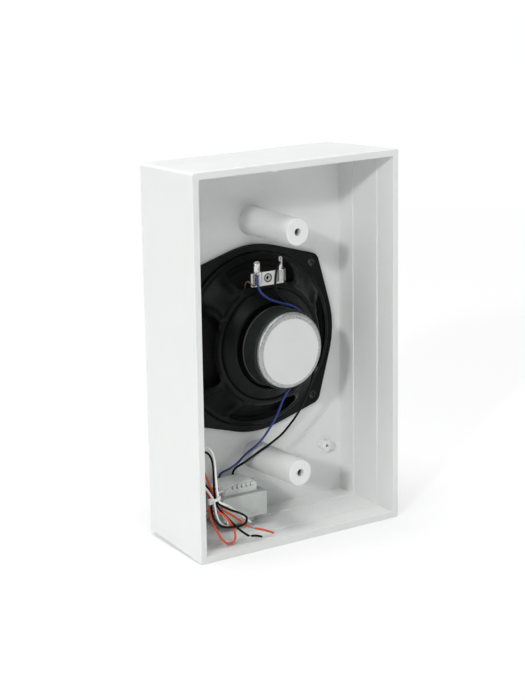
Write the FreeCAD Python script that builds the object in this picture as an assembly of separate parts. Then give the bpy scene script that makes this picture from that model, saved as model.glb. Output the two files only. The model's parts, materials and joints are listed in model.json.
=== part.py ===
import FreeCAD, Part
import math
import os

# Wall loudspeaker seen from its open back: a drafted moulded cabinet with a cone driver, a line
# transformer and its leads. Front faces -Y, the open back +Y, +Z is up. Millimetres throughout.

os.makedirs("parts", exist_ok=True)
V = FreeCAD.Vector

# Cabinet
cabinet_height = 270.0
cabinet_width = 171.0
cabinet_depth = 76.4
side_draft = 6.3
end_draft = 3.0
rim_wall = 5.0
inner_draft_angle = 2.0
ledge_step = 0.7
first_ledge_depth = 17.4
second_ledge_depth = 43.5
baffle_depth = 58.9
baffle_thickness = 3.0
front_wall = 4.0
corner_radius = 2.0
rim_edge_radius = 0.7

# Wall-screw posts and the spare boss, moulded on the baffle
post_flange_distance = 17.6
post_end_radius = 9.3
post_draft_angle = 1.1
post_end_inset = 2.0
post_end_wall = 4.0
post_screw_radius = 2.75
post_well_radius = 5.0
post_edge_radius = 0.6
boss_side_offset = 61.2
boss_height_above_floor = 45.4
boss_radius = 4.0
boss_length = 5.5
boss_hole_radius = 1.25
boss_hole_depth = 4.2

# Front grille
grille_sheet = 1.0
grille_fit_gap = 0.3
grille_front_inset = 0.8
grille_corner_radius = 3.0
slot_columns = 3
slot_rows = 34
slot_length = 42.0
slot_width = 3.0
slot_column_pitch = 47.0
slot_row_pitch = 7.2

# Driver
driver_lift = 0.6
cutout_inset = 8.3
gasket_thickness = 1.5
basket_sheet = 1.0
flange_radius = 68.0
ear_overhang = 1.8
ear_angle = 44.8
ear_radius = 7.0
window_half_angle = 29.0
window_corner_radius = 4.0
window_inner_radius = 44.2
window_outer_inset = 9.4
lip_height = 2.4
lip_angle = 3.0
flange_overlap = 1.5

# Basket's pressed section: the step as (distance in from the flange's edge, distance behind it)
flange_width = 5.1
step_outer_place = (5.9, 2.6)
step_inner_place = (8.5, 3.2)

# Then the spokes and the cup as (radius, distance behind the flange), from the outside inwards
spoke_inner = (43.2, 16.6)
cup_rim_outer = (42.2, 18.2)
cup_rim_inner = (40.8, 18.6)
cup_groove = (39.8, 17.8)
cup_shoulder = (38.6, 19.2)
cup_crest = (31.9, 24.2)
cup_lip = (30.8, 24.0)
seat_outer = (30.2, 22.2)
seat_hole_radius = 15.0

# Driver screws
screw_radius = 1.7
screw_hole_gap = 0.25
screw_head_radius = 3.6
screw_head_height = 2.3
screw_recess_width = 0.9
screw_recess_length = 3.8
screw_recess_depth = 1.2
screw_tip_inset = 0.4

# Magnet system
top_plate_radius = 27.6
top_plate_thickness = 5.3
gap_outer_radius = 11.4
ferrite_radius = 28.3
ferrite_hole_radius = 15.5
ferrite_length = 14.1
ferrite_chamfer = 0.6
back_plate_radius = 26.8
back_plate_thickness = 2.8
back_plate_edge_radius = 1.7
pole_radius = 9.5
label_radius = 24.0
label_thickness = 0.15

# Cone assembly, with depths behind the flange
former_inner_radius = 9.95
former_wall = 0.3
former_start_depth = 13.9
former_end_depth = 31.2
winding_wall = 0.65
winding_length = 9.0
cone_sheet = 0.8
cone_edge_inset = 18.7
cone_edge_depth = 2.0
cone_lip_width = 2.4
cone_neck_depth = 13.6
dust_cap_radius = 14.0
dust_cap_rise = 4.2
dust_cap_sheet = 0.5
glue_gap = 0.05
surround_sheet = 0.6
surround_roll_radius = 3.2
surround_inner_seat = 2.2
surround_outer_seat = 2.6
spider_sheet = 0.5
spider_wave_height = 1.3
spider_wave_count = 6
spider_outer_radius = 40.6
spider_inner_seat = 1.6
spider_outer_seat = 1.6
spider_seat_gap = 0.4

# Terminal board
board_centre_x = 1.8
board_width = 27.0
board_height = 9.5
board_rise = 42.7
board_thickness = 1.2
board_corner_radius = 0.8
basket_tab_width = 13.0
basket_tab_step = 0.5
eyelet_lift = 0.5
eyelet_radius = 1.9
eyelet_hole_radius = 1.0
eyelet_flange_radius = 3.2
eyelet_flange = 0.5
tag_offset = 0.4
tag_spacing = 20.0
tag_width = 4.8
narrow_tag_width = 2.8
tag_sheet = 0.8
tag_foot_height = 2.0
tag_foot_inset = 0.2
tag_stand_off = 1.2
tag_rise_left = 9.0
tag_rise_right = 10.0
tag_hole_radius = 0.9
sleeve_wall = 0.4
sleeve_half_x = 3.0
sleeve_half_y = 2.2
sleeve_length = 8.8
sleeve_corner_radius = 1.5
sleeve_gap = 0.2
sleeve_foot_gap = 0.3

# Transformer
core_width = 36.3
core_length = 29.5
core_stack = 17.2
core_right_x = 10.8
core_bottom = 14.6
core_limb = 4.9
core_window = 7.8
bobbin_wall = 0.8
bobbin_gap = 0.2
bobbin_flange = 1.0
bobbin_width = 21.8
bobbin_top = 38.7
bobbin_bottom = 9.6
bobbin_corner_radius = 1.0
winding_inset = 0.7
winding_corner_radius = 2.5
bracket_sheet = 0.7
bracket_gap = 0.05
bracket_foot = 8.5
bracket_bend_radius = 1.0
pin_radius = 0.4
pin_length = 2.8
pin_count = 5
pin_pitch = 3.8
pin_drop = 2.1
lead_pin_offsets = (-7.1, 4.6)
lead_pin_drop = 2.5
foot_screw_radius = 1.4
foot_screw_head_radius = 2.7
foot_screw_head_height = 1.8

# Leads
lead_diameter = 1.6
bend_share = 0.45
tinsel_diameter = 0.9
tinsel_tag_gap = 0.5
tinsel_foot_rise = 1.2
tinsel_cone_gap = 0.2

# Flexible leads as (outwards, back, up) from the foot of the tag, and (outwards, up) of the end at the cone
tinsel_steps = ((1.9, 0.0, 2.4), (2.4, -2.6, 3.4), (2.3, -5.2, 1.6), (1.1, -7.8, -2.2), (-0.5, -11.0, -5.8))
tinsel_end_step = (-2.0, -8.2)

# Cable tie and the bare ends of the leads
tie_centre = V(65.9, 26.6, 40.4)
tie_opening_x = 8.0
tie_opening_y = 6.8
tie_band = 1.0
tie_band_width = 2.6
tie_corner_radius = 1.4
tie_head_drop = 2.3
tie_head = V(4.4, 3.4, 4.6)
strand_diameter = 1.0
strand_start_gap = 0.3
slug_gap = 0.05

# Shares and tolerances used by the shapes below
round_end_share = 0.97
tolerance = 1e-6

# Places worked out from the sizes above
rear_y = cabinet_depth / 2
front_y = -cabinet_depth / 2
middle_z = cabinet_height / 2
driver_height = middle_z + driver_lift
board_bottom = driver_height + board_rise
baffle_rear = rear_y - baffle_depth
baffle_front = baffle_rear - baffle_thickness
flange_front = baffle_rear + gasket_thickness
flange_rear = flange_front + basket_sheet
seat_rear = flange_rear + seat_outer[1]
flange_inner = (flange_radius - flange_width, 0.0)
step_outer = (flange_radius - step_outer_place[0], step_outer_place[1])
step_inner = (flange_radius - step_inner_place[0], step_inner_place[1])
window_outer_radius = flange_radius - window_outer_inset
cutout_radius = flange_radius - cutout_inset
cone_edge_radius = flange_radius - cone_edge_inset
top_plate_rear = seat_rear + top_plate_thickness
ferrite_rear = top_plate_rear + ferrite_length
back_plate_rear = ferrite_rear + back_plate_thickness
former_radius = former_inner_radius + former_wall
former_front = flange_rear + former_start_depth
former_rear = flange_rear + former_end_depth
cone_edge_y = flange_rear + cone_edge_depth
cone_neck_y = flange_rear + cone_neck_depth
pitch_radius = flange_radius + ear_overhang
ear_angles = (ear_angle, 180 - ear_angle, 180 + ear_angle, 360 - ear_angle)
screw_hole_radius = screw_radius + screw_hole_gap
post_offset = flange_radius + post_flange_distance
post_heights = (middle_z - post_offset, middle_z + post_offset)
post_end = rear_y - post_end_inset
post_base_radius = post_end_radius + (post_end - baffle_rear) * math.tan(math.radians(post_draft_angle))


def export(shape, node):
    shape.exportStep("parts/" + node + ".step")


def cylinder(radius, start_y, end_y, x=0.0, z=driver_height):
    return Part.makeCylinder(radius, end_y - start_y, V(x, start_y, z), V(0, 1, 0))


def ring(outer_radius, inner_radius, start_y, end_y, x=0.0, z=driver_height):
    outer = cylinder(outer_radius, start_y, end_y, x, z)
    return outer.cut(cylinder(inner_radius, start_y, end_y, x, z))


def block(low, high):
    size = high - low
    return Part.makeBox(size.x, size.y, size.z, low)


def driver_point(radius, angle, y):
    turn = math.radians(angle)
    return V(radius * math.cos(turn), y, driver_height + radius * math.sin(turn))


def flat_face(corners):
    return Part.Face(Part.makePolygon(corners + corners[:1]))


def turned(points, angle=360.0, start_angle=0.0):
    """Revolve a section of (radius, y) points about the driver's axis."""
    corners = [V(radius, y, driver_height) for radius, y in points]
    face = flat_face(corners)
    axis_point = V(0, 0, driver_height)
    face.rotate(axis_point, V(0, 1, 0), -start_angle)
    return face.revolve(axis_point, V(0, -1, 0), angle)


def sheet_section(line, thickness):
    """Close a line of (a, b) points into a strip: the second side lies to the line's left."""
    side = []
    for index, point in enumerate(line):
        before = line[max(index - 1, 0)]
        after = line[min(index + 1, len(line) - 1)]
        normals = []
        for start, end in ((before, point), (point, after)):
            length = math.hypot(end[0] - start[0], end[1] - start[1])
            if length > 0:
                normals.append((-(end[1] - start[1]) / length, (end[0] - start[0]) / length))
        mean_a = sum(normal[0] for normal in normals) / len(normals)
        mean_b = sum(normal[1] for normal in normals) / len(normals)
        scale = thickness / (mean_a ** 2 + mean_b ** 2)
        side.append((point[0] + mean_a * scale, point[1] + mean_b * scale))
    return list(line) + side[::-1]


def tapered_block(rear, front):
    """Flat-sided block between two upright rectangles, each given as (y, half width, half height)."""
    rear_place, rear_x, rear_z = rear
    front_place, front_x, front_z = front
    low = (-front_x, front_place, middle_z - front_z, middle_z - rear_z, -rear_x)
    high = (front_x, rear_place, middle_z + front_z, middle_z + rear_z, rear_x)
    return Part.makeWedge(*low, *high)


def edges_where(shape, test):
    return [edge for edge in shape.Edges if all(test(vertex.Point) for vertex in edge.Vertexes)]


def runs_along(edge, axis):
    return abs(edge.tangentAt(edge.FirstParameter).dot(axis)) > 1 - tolerance


def rounded_box(low, high, radius, axis):
    """Box whose four edges along one axis are rounded."""
    box = block(low, high)
    return box.makeFillet(radius, [edge for edge in box.Edges if runs_along(edge, axis)])


def pan_screw(radius, length, head_radius, head_height, x, seat_y, z):
    """Pan-head screw with a cross recess, its head's underside at seat_y and its tip towards -Y."""
    dome = (head_radius ** 2 + head_height ** 2) / (2 * head_height)
    head = Part.makeSphere(dome, V(x, seat_y + head_height - dome, z))
    head = head.common(cylinder(head_radius, seat_y, seat_y + head_height, x, z))
    screw = head.fuse(cylinder(radius, seat_y - length, seat_y, x, z))
    top = seat_y + head_height
    for half_x, half_z in ((screw_recess_length / 2, screw_recess_width / 2),
                           (screw_recess_width / 2, screw_recess_length / 2)):
        low = V(x - half_x, top - screw_recess_depth, z - half_z)
        screw = screw.cut(block(low, V(x + half_x, top + screw_recess_depth, z + half_z)))
    return screw


def inner_half(depth):
    """How far the cavity's wall has come in from the rim's inner edge at a depth."""
    steps = (depth > first_ledge_depth) + (depth > second_ledge_depth)
    return depth * math.tan(math.radians(inner_draft_angle)) + steps * ledge_step


def make_cavity():
    """Space inside the walls, in three drafted stages with a small ledge between them."""
    half_x = cabinet_width / 2 - rim_wall
    half_z = cabinet_height / 2 - rim_wall
    stops = (0.0, first_ledge_depth, second_ledge_depth, baffle_depth)
    cavity = None
    for start, end in zip(stops, stops[1:]):
        steps = inner_half(end) - inner_half(start + tolerance)
        come_in = inner_half(start + tolerance)
        near = (rear_y - start, half_x - come_in, half_z - come_in)
        far = (rear_y - end, half_x - come_in - steps, half_z - come_in - steps)
        stage = tapered_block(near, far)
        cavity = stage if cavity is None else cavity.fuse(stage)
    return cavity


def make_post(z):
    length = post_end - baffle_rear
    cone = Part.makeCone(post_base_radius, post_end_radius, length, V(0, baffle_rear, z), V(0, 1, 0))
    rim = edges_where(cone, lambda point: abs(point.y - post_end) < tolerance)
    return cone.makeFillet(post_edge_radius, rim)


def recess_half_sizes():
    half_x = cabinet_width / 2 - side_draft - front_wall
    half_z = cabinet_height / 2 - end_draft - front_wall
    return half_x, half_z


def foot_screw_places():
    z = core_bottom + core_stack / 2
    left_x = core_right_x + core_width
    offset = bracket_gap + bracket_sheet + bracket_foot / 2
    return ((core_right_x - offset, z), (left_x + offset, z))


def make_cabinet():
    front_half_x = cabinet_width / 2 - side_draft
    front_half_z = cabinet_height / 2 - end_draft
    rear = (rear_y, cabinet_width / 2, cabinet_height / 2)
    shell = tapered_block(rear, (front_y, front_half_x, front_half_z))
    rear_edges = edges_where(shell, lambda point: point.y > rear_y - tolerance)
    others = []
    for edge in shell.Edges:
        if not any(edge.isSame(rear_edge) for rear_edge in rear_edges):
            others.append(edge)
    shell = shell.makeFillet(corner_radius, others)
    shell = shell.makeFillet(rim_edge_radius, edges_where(shell, lambda point: point.y > rear_y - tolerance))
    shell = shell.cut(make_cavity())
    half_x, half_z = recess_half_sizes()
    recess = block(V(-half_x, front_y, middle_z - half_z), V(half_x, baffle_front, middle_z + half_z))
    shell = shell.cut(recess)
    for z in post_heights:
        shell = shell.fuse(make_post(z))
    boss = (-boss_side_offset, boss_height_above_floor)
    shell = shell.fuse(cylinder(boss_radius, baffle_rear, baffle_rear + boss_length, *boss))
    for z in post_heights:
        shell = shell.cut(cylinder(post_screw_radius, baffle_front, post_end, 0, z))
        shell = shell.cut(cylinder(post_well_radius, baffle_front, post_end - post_end_wall, 0, z))
    boss_end = baffle_rear + boss_length
    shell = shell.cut(cylinder(boss_hole_radius, boss_end - boss_hole_depth, boss_end, *boss))
    shell = shell.cut(cylinder(cutout_radius, baffle_front, baffle_rear))
    for angle in ear_angles:
        place = driver_point(pitch_radius, angle, 0)
        shell = shell.cut(cylinder(screw_hole_radius, baffle_front, baffle_rear, place.x, place.z))
    for x, z in foot_screw_places():
        shell = shell.cut(cylinder(foot_screw_radius + screw_hole_gap, baffle_front, baffle_rear, x, z))
    return shell.removeSplitter()


def make_grille():
    """Slotted sheet-steel pan that drops into the front recess and stands on the baffle."""
    half_x, half_z = recess_half_sizes()
    half_x -= grille_fit_gap
    half_z -= grille_fit_gap
    face_y = front_y + grille_front_inset
    low = V(-half_x, face_y, middle_z - half_z)
    high = V(half_x, baffle_front, middle_z + half_z)
    pan = rounded_box(low, high, grille_corner_radius, V(0, 1, 0))
    sheet = V(grille_sheet, 0, grille_sheet)
    hollow_low = low + sheet + V(0, grille_sheet, 0)
    hollow = rounded_box(hollow_low, high - sheet, grille_corner_radius - grille_sheet, V(0, 1, 0))
    pan = pan.cut(hollow)
    slots = []
    for column in range(slot_columns):
        x = (column - (slot_columns - 1) / 2) * slot_column_pitch
        for row in range(slot_rows):
            z = middle_z + (row - (slot_rows - 1) / 2) * slot_row_pitch
            slot_low = V(x - slot_length / 2, face_y, z - slot_width / 2)
            slot_high = V(x + slot_length / 2, face_y + grille_sheet, z + slot_width / 2)
            slots.append(rounded_box(slot_low, slot_high, slot_width / 2 * round_end_share, V(0, 1, 0)))
    return pan.cut(slots)


def flange_outline(y):
    """Flange circle with four ears, joined by straight tangents."""
    spread = math.degrees(math.acos((flange_radius - ear_radius) / pitch_radius))
    edges = []
    for index, angle in enumerate(ear_angles):
        centre = driver_point(pitch_radius, angle, y)

        def on_ear(at):
            turn = math.radians(at)
            return centre + V(ear_radius * math.cos(turn), 0, ear_radius * math.sin(turn))

        start = driver_point(flange_radius, angle - spread, y)
        end = driver_point(flange_radius, angle + spread, y)
        next_angle = ear_angles[(index + 1) % 4] + (360 if index == 3 else 0)
        middle = driver_point(flange_radius, (angle + next_angle) / 2, y)
        next_start = driver_point(flange_radius, next_angle - spread, y)
        edges.append(Part.LineSegment(start, on_ear(angle - spread)).toShape())
        edges.append(Part.Arc(on_ear(angle - spread), on_ear(angle), on_ear(angle + spread)).toShape())
        edges.append(Part.LineSegment(on_ear(angle + spread), end).toShape())
        edges.append(Part.Arc(end, middle, next_start).toShape())
    return Part.Wire(edges)


def flange_plate(start_y, thickness, hole_radius):
    plate = Part.Face(flange_outline(start_y)).extrude(V(0, thickness, 0))
    plate = plate.cut(cylinder(hole_radius, start_y, start_y + thickness))
    for angle in ear_angles:
        place = driver_point(pitch_radius, angle, 0)
        hole = cylinder(screw_hole_radius, start_y, start_y + thickness, place.x, place.z)
        plate = plate.cut(hole)
    return plate


def window_tool(angle):
    """Rounded sector that opens the basket between two spokes."""
    start_y = flange_rear + step_inner[1] - 2 * basket_sheet
    end_y = flange_rear + cup_crest[1]
    points = []
    for radius, at in ((window_inner_radius, -1), (window_inner_radius, 0), (window_inner_radius, 1),
                       (window_outer_radius, 1), (window_outer_radius, 0), (window_outer_radius, -1)):
        points.append(driver_point(radius, angle + at * window_half_angle, start_y))
    edges = [Part.Arc(points[0], points[1], points[2]).toShape()]
    edges.append(Part.LineSegment(points[2], points[3]).toShape())
    edges.append(Part.Arc(points[3], points[4], points[5]).toShape())
    edges.append(Part.LineSegment(points[5], points[0]).toShape())
    tool = Part.Face(Part.Wire(edges)).extrude(V(0, end_y - start_y, 0))
    corners = [edge for edge in tool.Edges if runs_along(edge, V(0, 1, 0))]
    half_height = (window_outer_radius - window_inner_radius) / 2
    return tool.makeFillet(min(window_corner_radius, half_height * round_end_share), corners)


def spoke_lip(angle):
    """Raised edge along one side of a spoke, fading out at the flange step."""
    outer = (step_inner[0], flange_rear + step_inner[1])
    inner = (spoke_inner[0], flange_rear + spoke_inner[1])
    length = math.hypot(inner[0] - outer[0], inner[1] - outer[1])
    rise_radius = lip_height * (inner[1] - outer[1]) / length
    rise_y = lip_height * (outer[0] - inner[0]) / length
    crest = (inner[0] + rise_radius, inner[1] + rise_y)
    low_outer = (outer[0] - basket_sheet, outer[1])
    low_inner = (inner[0], inner[1] - basket_sheet / 2)
    middle = ((outer[0] + inner[0]) / 2 + rise_radius, (outer[1] + inner[1]) / 2 + rise_y)
    section = [low_outer, low_inner, inner, crest, middle, outer]
    return turned(section, lip_angle, angle - lip_angle / 2)


def make_basket():
    line = [(flange_inner[0] + flange_overlap, flange_inner[1]), flange_inner, step_outer, step_inner]
    line += [spoke_inner, cup_rim_outer, cup_rim_inner]
    line += [cup_groove, cup_shoulder, cup_crest, cup_lip, seat_outer, (seat_hole_radius, seat_outer[1])]
    rear_line = [(radius, flange_rear + back) for radius, back in line]
    pressed = turned(sheet_section(rear_line, basket_sheet))
    basket = pressed.fuse(flange_plate(flange_front, basket_sheet, flange_inner[0]))
    for quarter in range(4):
        basket = basket.cut(window_tool(90 * quarter))
    spoke_side = window_half_angle + lip_angle / 2
    for quarter in range(4):
        for side in (-1, 1):
            basket = basket.fuse(spoke_lip(90 * quarter + side * spoke_side))
    tab_rear = board_front()
    tab_low = V(board_centre_x - basket_tab_width / 2, tab_rear - basket_sheet, driver_height + cup_groove[0])
    tab_high = V(board_centre_x + basket_tab_width / 2, tab_rear, board_bottom + board_height)
    basket = basket.fuse(block(tab_low, tab_high))
    hole = eyelet_place()
    basket = basket.cut(cylinder(eyelet_radius, tab_rear - basket_sheet, tab_rear, hole[0], hole[1]))
    return basket.removeSplitter()


def board_front():
    return flange_rear + cup_rim_inner[1] + basket_tab_step


def eyelet_place():
    return board_centre_x, board_bottom + board_height / 2 + eyelet_lift


def make_magnet():
    magnet = ring(ferrite_radius, ferrite_hole_radius, top_plate_rear, ferrite_rear)
    rims = []
    for edge in magnet.Edges:
        if len(edge.Vertexes) == 1 and abs(edge.Curve.Radius - ferrite_radius) < tolerance:
            rims.append(edge)
    return magnet.makeChamfer(ferrite_chamfer, rims)


def make_yoke():
    plate = cylinder(back_plate_radius, ferrite_rear, back_plate_rear)
    rim = edges_where(plate, lambda point: abs(point.y - back_plate_rear) < tolerance)
    plate = plate.makeFillet(back_plate_edge_radius, rim)
    return plate.fuse(cylinder(pole_radius, seat_rear, ferrite_rear)).removeSplitter()


def cone_slope():
    return (cone_neck_y - cone_edge_y) / (cone_edge_radius - former_radius)


def cone_rear(radius):
    """Rear face of the paper cone at a radius."""
    return cone_neck_y - (radius - former_radius) * cone_slope()


def cone_front(radius):
    return cone_rear(radius) - cone_sheet * math.hypot(1, cone_slope())


def make_cone():
    lip_radius = cone_edge_radius + cone_lip_width
    line = [(lip_radius, cone_edge_y), (cone_edge_radius, cone_edge_y), (former_radius, cone_neck_y)]
    return turned(sheet_section(line, cone_sheet)).cut(cylinder(former_radius, front_y, rear_y))


def make_dust_cap():
    """Domed cap that closes the cone's throat from the front."""
    edge_y = cone_front(dust_cap_radius) - glue_gap
    sphere = (dust_cap_radius ** 2 + dust_cap_rise ** 2) / (2 * dust_cap_rise)
    centre = V(0, edge_y - dust_cap_rise + sphere, driver_height)
    cap = Part.makeSphere(sphere, centre).cut(Part.makeSphere(sphere - dust_cap_sheet, centre))
    return cap.common(cylinder(sphere, edge_y - sphere, edge_y))


def make_surround():
    """Half-roll edge between the cone's lip and the basket's step."""
    front = cone_edge_y - cone_sheet - glue_gap - surround_sheet
    rear = front + surround_sheet
    roll_start = cone_edge_radius + cone_lip_width
    roll_end = roll_start + 2 * surround_roll_radius
    roll = (roll_start + roll_end) / 2
    inner_roll = surround_roll_radius - surround_sheet

    def at(radius, y):
        return V(radius, y, driver_height)

    inner_edge = roll_start - surround_inner_seat
    outer_edge = roll_end + surround_outer_seat
    points = [at(inner_edge, rear), at(inner_edge, front), at(roll_start, front)]
    edges = [Part.LineSegment(points[0], points[1]).toShape()]
    edges.append(Part.LineSegment(points[1], points[2]).toShape())
    top = Part.Arc(points[2], at(roll, front - surround_roll_radius), at(roll_end, front))
    edges.append(top.toShape())
    edges.append(Part.LineSegment(at(roll_end, front), at(outer_edge, front)).toShape())
    edges.append(Part.LineSegment(at(outer_edge, front), at(outer_edge, rear)).toShape())
    edges.append(Part.LineSegment(at(outer_edge, rear), at(roll + inner_roll, rear)).toShape())
    inner_front = at(roll + inner_roll, front)
    edges.append(Part.LineSegment(at(roll + inner_roll, rear), inner_front).toShape())
    under = Part.Arc(inner_front, at(roll, front - inner_roll), at(roll - inner_roll, front))
    edges.append(under.toShape())
    edges.append(Part.LineSegment(at(roll - inner_roll, front), at(roll - inner_roll, rear)).toShape())
    edges.append(Part.LineSegment(at(roll - inner_roll, rear), points[0]).toShape())
    face = Part.Face(Part.Wire(edges))
    return face.revolve(V(0, 0, driver_height), V(0, 1, 0), 360)


def make_spider():
    """Corrugated disc that centres the voice coil, glued inside the cup's rim."""
    seat_y = flange_rear + cup_groove[1] - basket_sheet - spider_seat_gap - spider_sheet
    inner = former_radius + glue_gap
    first = inner + spider_inner_seat
    last = spider_outer_radius - spider_outer_seat
    line = [(inner, seat_y), (first, seat_y)]
    half_waves = 2 * spider_wave_count
    for index in range(half_waves):
        radius = first + (last - first) * (index + 0.5) / half_waves
        line.append((radius, seat_y - spider_wave_height * (index % 2)))
    line += [(last, seat_y), (spider_outer_radius, seat_y)]
    return turned(sheet_section(line, spider_sheet))


def make_eyelet():
    x, z = eyelet_place()
    rear = board_front() + board_thickness
    front = board_front() - basket_sheet
    eyelet = cylinder(eyelet_radius, front, rear, x, z)
    eyelet = eyelet.fuse(cylinder(eyelet_flange_radius, rear, rear + eyelet_flange, x, z))
    eyelet = eyelet.fuse(cylinder(eyelet_flange_radius, front - eyelet_flange, front, x, z))
    return eyelet.cut(cylinder(eyelet_hole_radius, front - eyelet_flange, rear + eyelet_flange, x, z))


def make_board():
    front = board_front()
    low = V(board_centre_x - board_width / 2, front, board_bottom)
    high = V(board_centre_x + board_width / 2, front + board_thickness, board_bottom + board_height)
    board = rounded_box(low, high, board_corner_radius, V(0, 1, 0))
    x, z = eyelet_place()
    return board.cut(cylinder(eyelet_radius, front, front + board_thickness, x, z))


def tag_x(side):
    return board_centre_x + tag_offset + side * tag_spacing / 2


def tag_front():
    return board_front() + board_thickness + tag_stand_off


def make_tag(side, rise, strip_width):
    """Solder tag: a foot on the board, a step away from it and an upright strip with a hole."""
    board_rear = board_front() + board_thickness
    strip_front = tag_front()
    foot_low = board_bottom + tag_foot_inset
    foot_high = foot_low + tag_foot_height
    top = board_bottom + board_height + rise
    profile = [(board_rear, foot_low), (board_rear + tag_sheet, foot_low)]
    step = foot_high - tag_sheet
    profile += [(board_rear + tag_sheet, step), (strip_front + tag_sheet, step)]
    profile += [(strip_front + tag_sheet, foot_high), (board_rear, foot_high)]
    corners = [V(tag_x(side) - tag_width / 2, y, z) for y, z in profile]
    foot = flat_face(corners).extrude(V(tag_width, 0, 0))
    low = V(tag_x(side) - strip_width / 2, strip_front, step)
    strip = block(low, V(tag_x(side) + strip_width / 2, strip_front + tag_sheet, top))
    ends = []
    for edge in strip.Edges:
        middle = edge.CenterOfMass
        if runs_along(edge, V(0, 1, 0)) and abs(middle.z - top) < tolerance:
            ends.append(edge)
    strip = strip.makeFillet(strip_width / 2 * round_end_share, ends)
    hole_z = top - strip_width / 2
    tag = foot.fuse(strip).removeSplitter()
    return tag.cut(cylinder(tag_hole_radius, strip_front, strip_front + tag_sheet, tag_x(side), hole_z))


def make_sleeve(side):
    """Clear sleeving slipped over the foot of a tag and the lead's end."""
    centre_y = board_front() + board_thickness + sleeve_gap + sleeve_half_y
    bottom = board_bottom + tag_foot_inset + tag_foot_height + sleeve_foot_gap
    low = V(tag_x(side) - sleeve_half_x, centre_y - sleeve_half_y, bottom)
    high = V(tag_x(side) + sleeve_half_x, centre_y + sleeve_half_y, bottom + sleeve_length)
    wall = V(sleeve_wall, sleeve_wall, 0)
    outer = rounded_box(low, high, sleeve_corner_radius, V(0, 0, 1))
    inner_radius = sleeve_corner_radius - sleeve_wall
    return outer.cut(rounded_box(low + wall, high - wall, inner_radius, V(0, 0, 1)))


def tinsel_route(side):
    """Points of a flexible lead from the foot of a tag, round the board's end and down to the cone."""
    foot_x = tag_x(side) + side * (tag_width / 2 + tinsel_tag_gap)
    foot = V(foot_x, board_front() + board_thickness + tinsel_tag_gap, board_bottom + tinsel_foot_rise)
    points = [foot]
    for out, back, up in tinsel_steps:
        points.append(foot + V(side * out, back, up))
    end = foot + V(side * tinsel_end_step[0], 0, tinsel_end_step[1])
    end.y = cone_rear(math.hypot(end.x, end.z - driver_height)) + tinsel_cone_gap
    return points + [end]


def core_middle():
    return V(core_right_x + core_width / 2, baffle_rear, core_bottom + core_stack / 2)


def make_core():
    low = V(core_right_x, baffle_rear, core_bottom)
    core = block(low, low + V(core_width, core_length, core_stack))
    for start in (core_limb, core_width - core_limb - core_window):
        window_low = low + V(start, core_limb, 0)
        window_high = low + V(start + core_window, core_length - core_limb, core_stack)
        core = core.cut(block(window_low, window_high))
    return core


def limb_hole(growth, start_y, end_y):
    """Box round the core's middle limb, grown sideways and upwards."""
    middle = core_middle()
    half_x = core_width / 2 - core_limb - core_window + growth
    half_z = core_stack / 2 + growth
    low = V(middle.x - half_x, start_y, middle.z - half_z)
    return block(low, V(middle.x + half_x, end_y, middle.z + half_z))


def bobbin_ends():
    start = baffle_rear + core_limb + bobbin_gap
    end = baffle_rear + core_length - core_limb - bobbin_gap
    return start, end


def make_bobbin():
    start, end = bobbin_ends()
    middle = core_middle()
    bobbin = limb_hole(bobbin_gap + bobbin_wall, start, end)
    for flange_start in (start, end - bobbin_flange):
        low = V(middle.x - bobbin_width / 2, flange_start, bobbin_bottom)
        high = V(middle.x + bobbin_width / 2, flange_start + bobbin_flange, bobbin_top)
        bobbin = bobbin.fuse(rounded_box(low, high, bobbin_corner_radius, V(0, 1, 0)))
    return bobbin.cut(limb_hole(bobbin_gap, start, end)).removeSplitter()


def make_winding():
    start, end = bobbin_ends()
    middle = core_middle()
    half_x = bobbin_width / 2 - winding_inset
    low = V(middle.x - half_x, start + bobbin_flange, bobbin_bottom + winding_inset)
    high = V(middle.x + half_x, end - bobbin_flange, bobbin_top - winding_inset)
    coil = rounded_box(low, high, winding_corner_radius, V(0, 1, 0))
    return coil.cut(limb_hole(bobbin_gap + bobbin_wall, start, end))


def make_bracket():
    """Sheet-metal strap over the core with a foot on the baffle at each side."""
    inner_left = core_right_x - bracket_gap
    inner_right = core_right_x + core_width + bracket_gap
    base = baffle_rear + core_length + bracket_gap
    left = inner_left - bracket_sheet
    right = inner_right + bracket_sheet
    top = baffle_rear + bracket_sheet
    outline = [(left - bracket_foot, baffle_rear), (inner_left, baffle_rear), (inner_left, base)]
    outline += [(inner_right, base), (inner_right, baffle_rear), (right + bracket_foot, baffle_rear)]
    outline += [(right + bracket_foot, top), (right, top), (right, base + bracket_sheet)]
    outline += [(left, base + bracket_sheet), (left, top), (left - bracket_foot, top)]
    corners = [V(x, y, core_bottom) for x, y in outline]
    bracket = flat_face(corners).extrude(V(0, 0, core_stack))
    bends = []
    for edge in bracket.Edges:
        middle = edge.CenterOfMass
        outer = abs(middle.x - left) < tolerance or abs(middle.x - right) < tolerance
        if runs_along(edge, V(0, 0, 1)) and outer and middle.y > base:
            bends.append(edge)
    bracket = bracket.makeFillet(bracket_bend_radius, bends)
    for x, z in foot_screw_places():
        hole = cylinder(foot_screw_radius + screw_hole_gap, baffle_rear, top, x, z)
        bracket = bracket.cut(hole)
    return bracket


def lead_pin_places():
    """Feet of the two pins that take the driver's leads, on the flange beside the baffle."""
    start, end = bobbin_ends()
    middle = core_middle()
    return [V(middle.x + offset, start, bobbin_top - lead_pin_drop) for offset in lead_pin_offsets]


def make_pins():
    start, end = bobbin_ends()
    middle = core_middle()
    pins = []
    for index in range(pin_count):
        x = middle.x + (index - (pin_count - 1) / 2) * pin_pitch
        pins.append(cylinder(pin_radius, end, end + pin_length, x, bobbin_top - pin_drop))
    for place in lead_pin_places():
        pins.append(cylinder(pin_radius, place.y - pin_length, place.y, place.x, place.z))
    return Part.makeCompound(pins)


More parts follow.
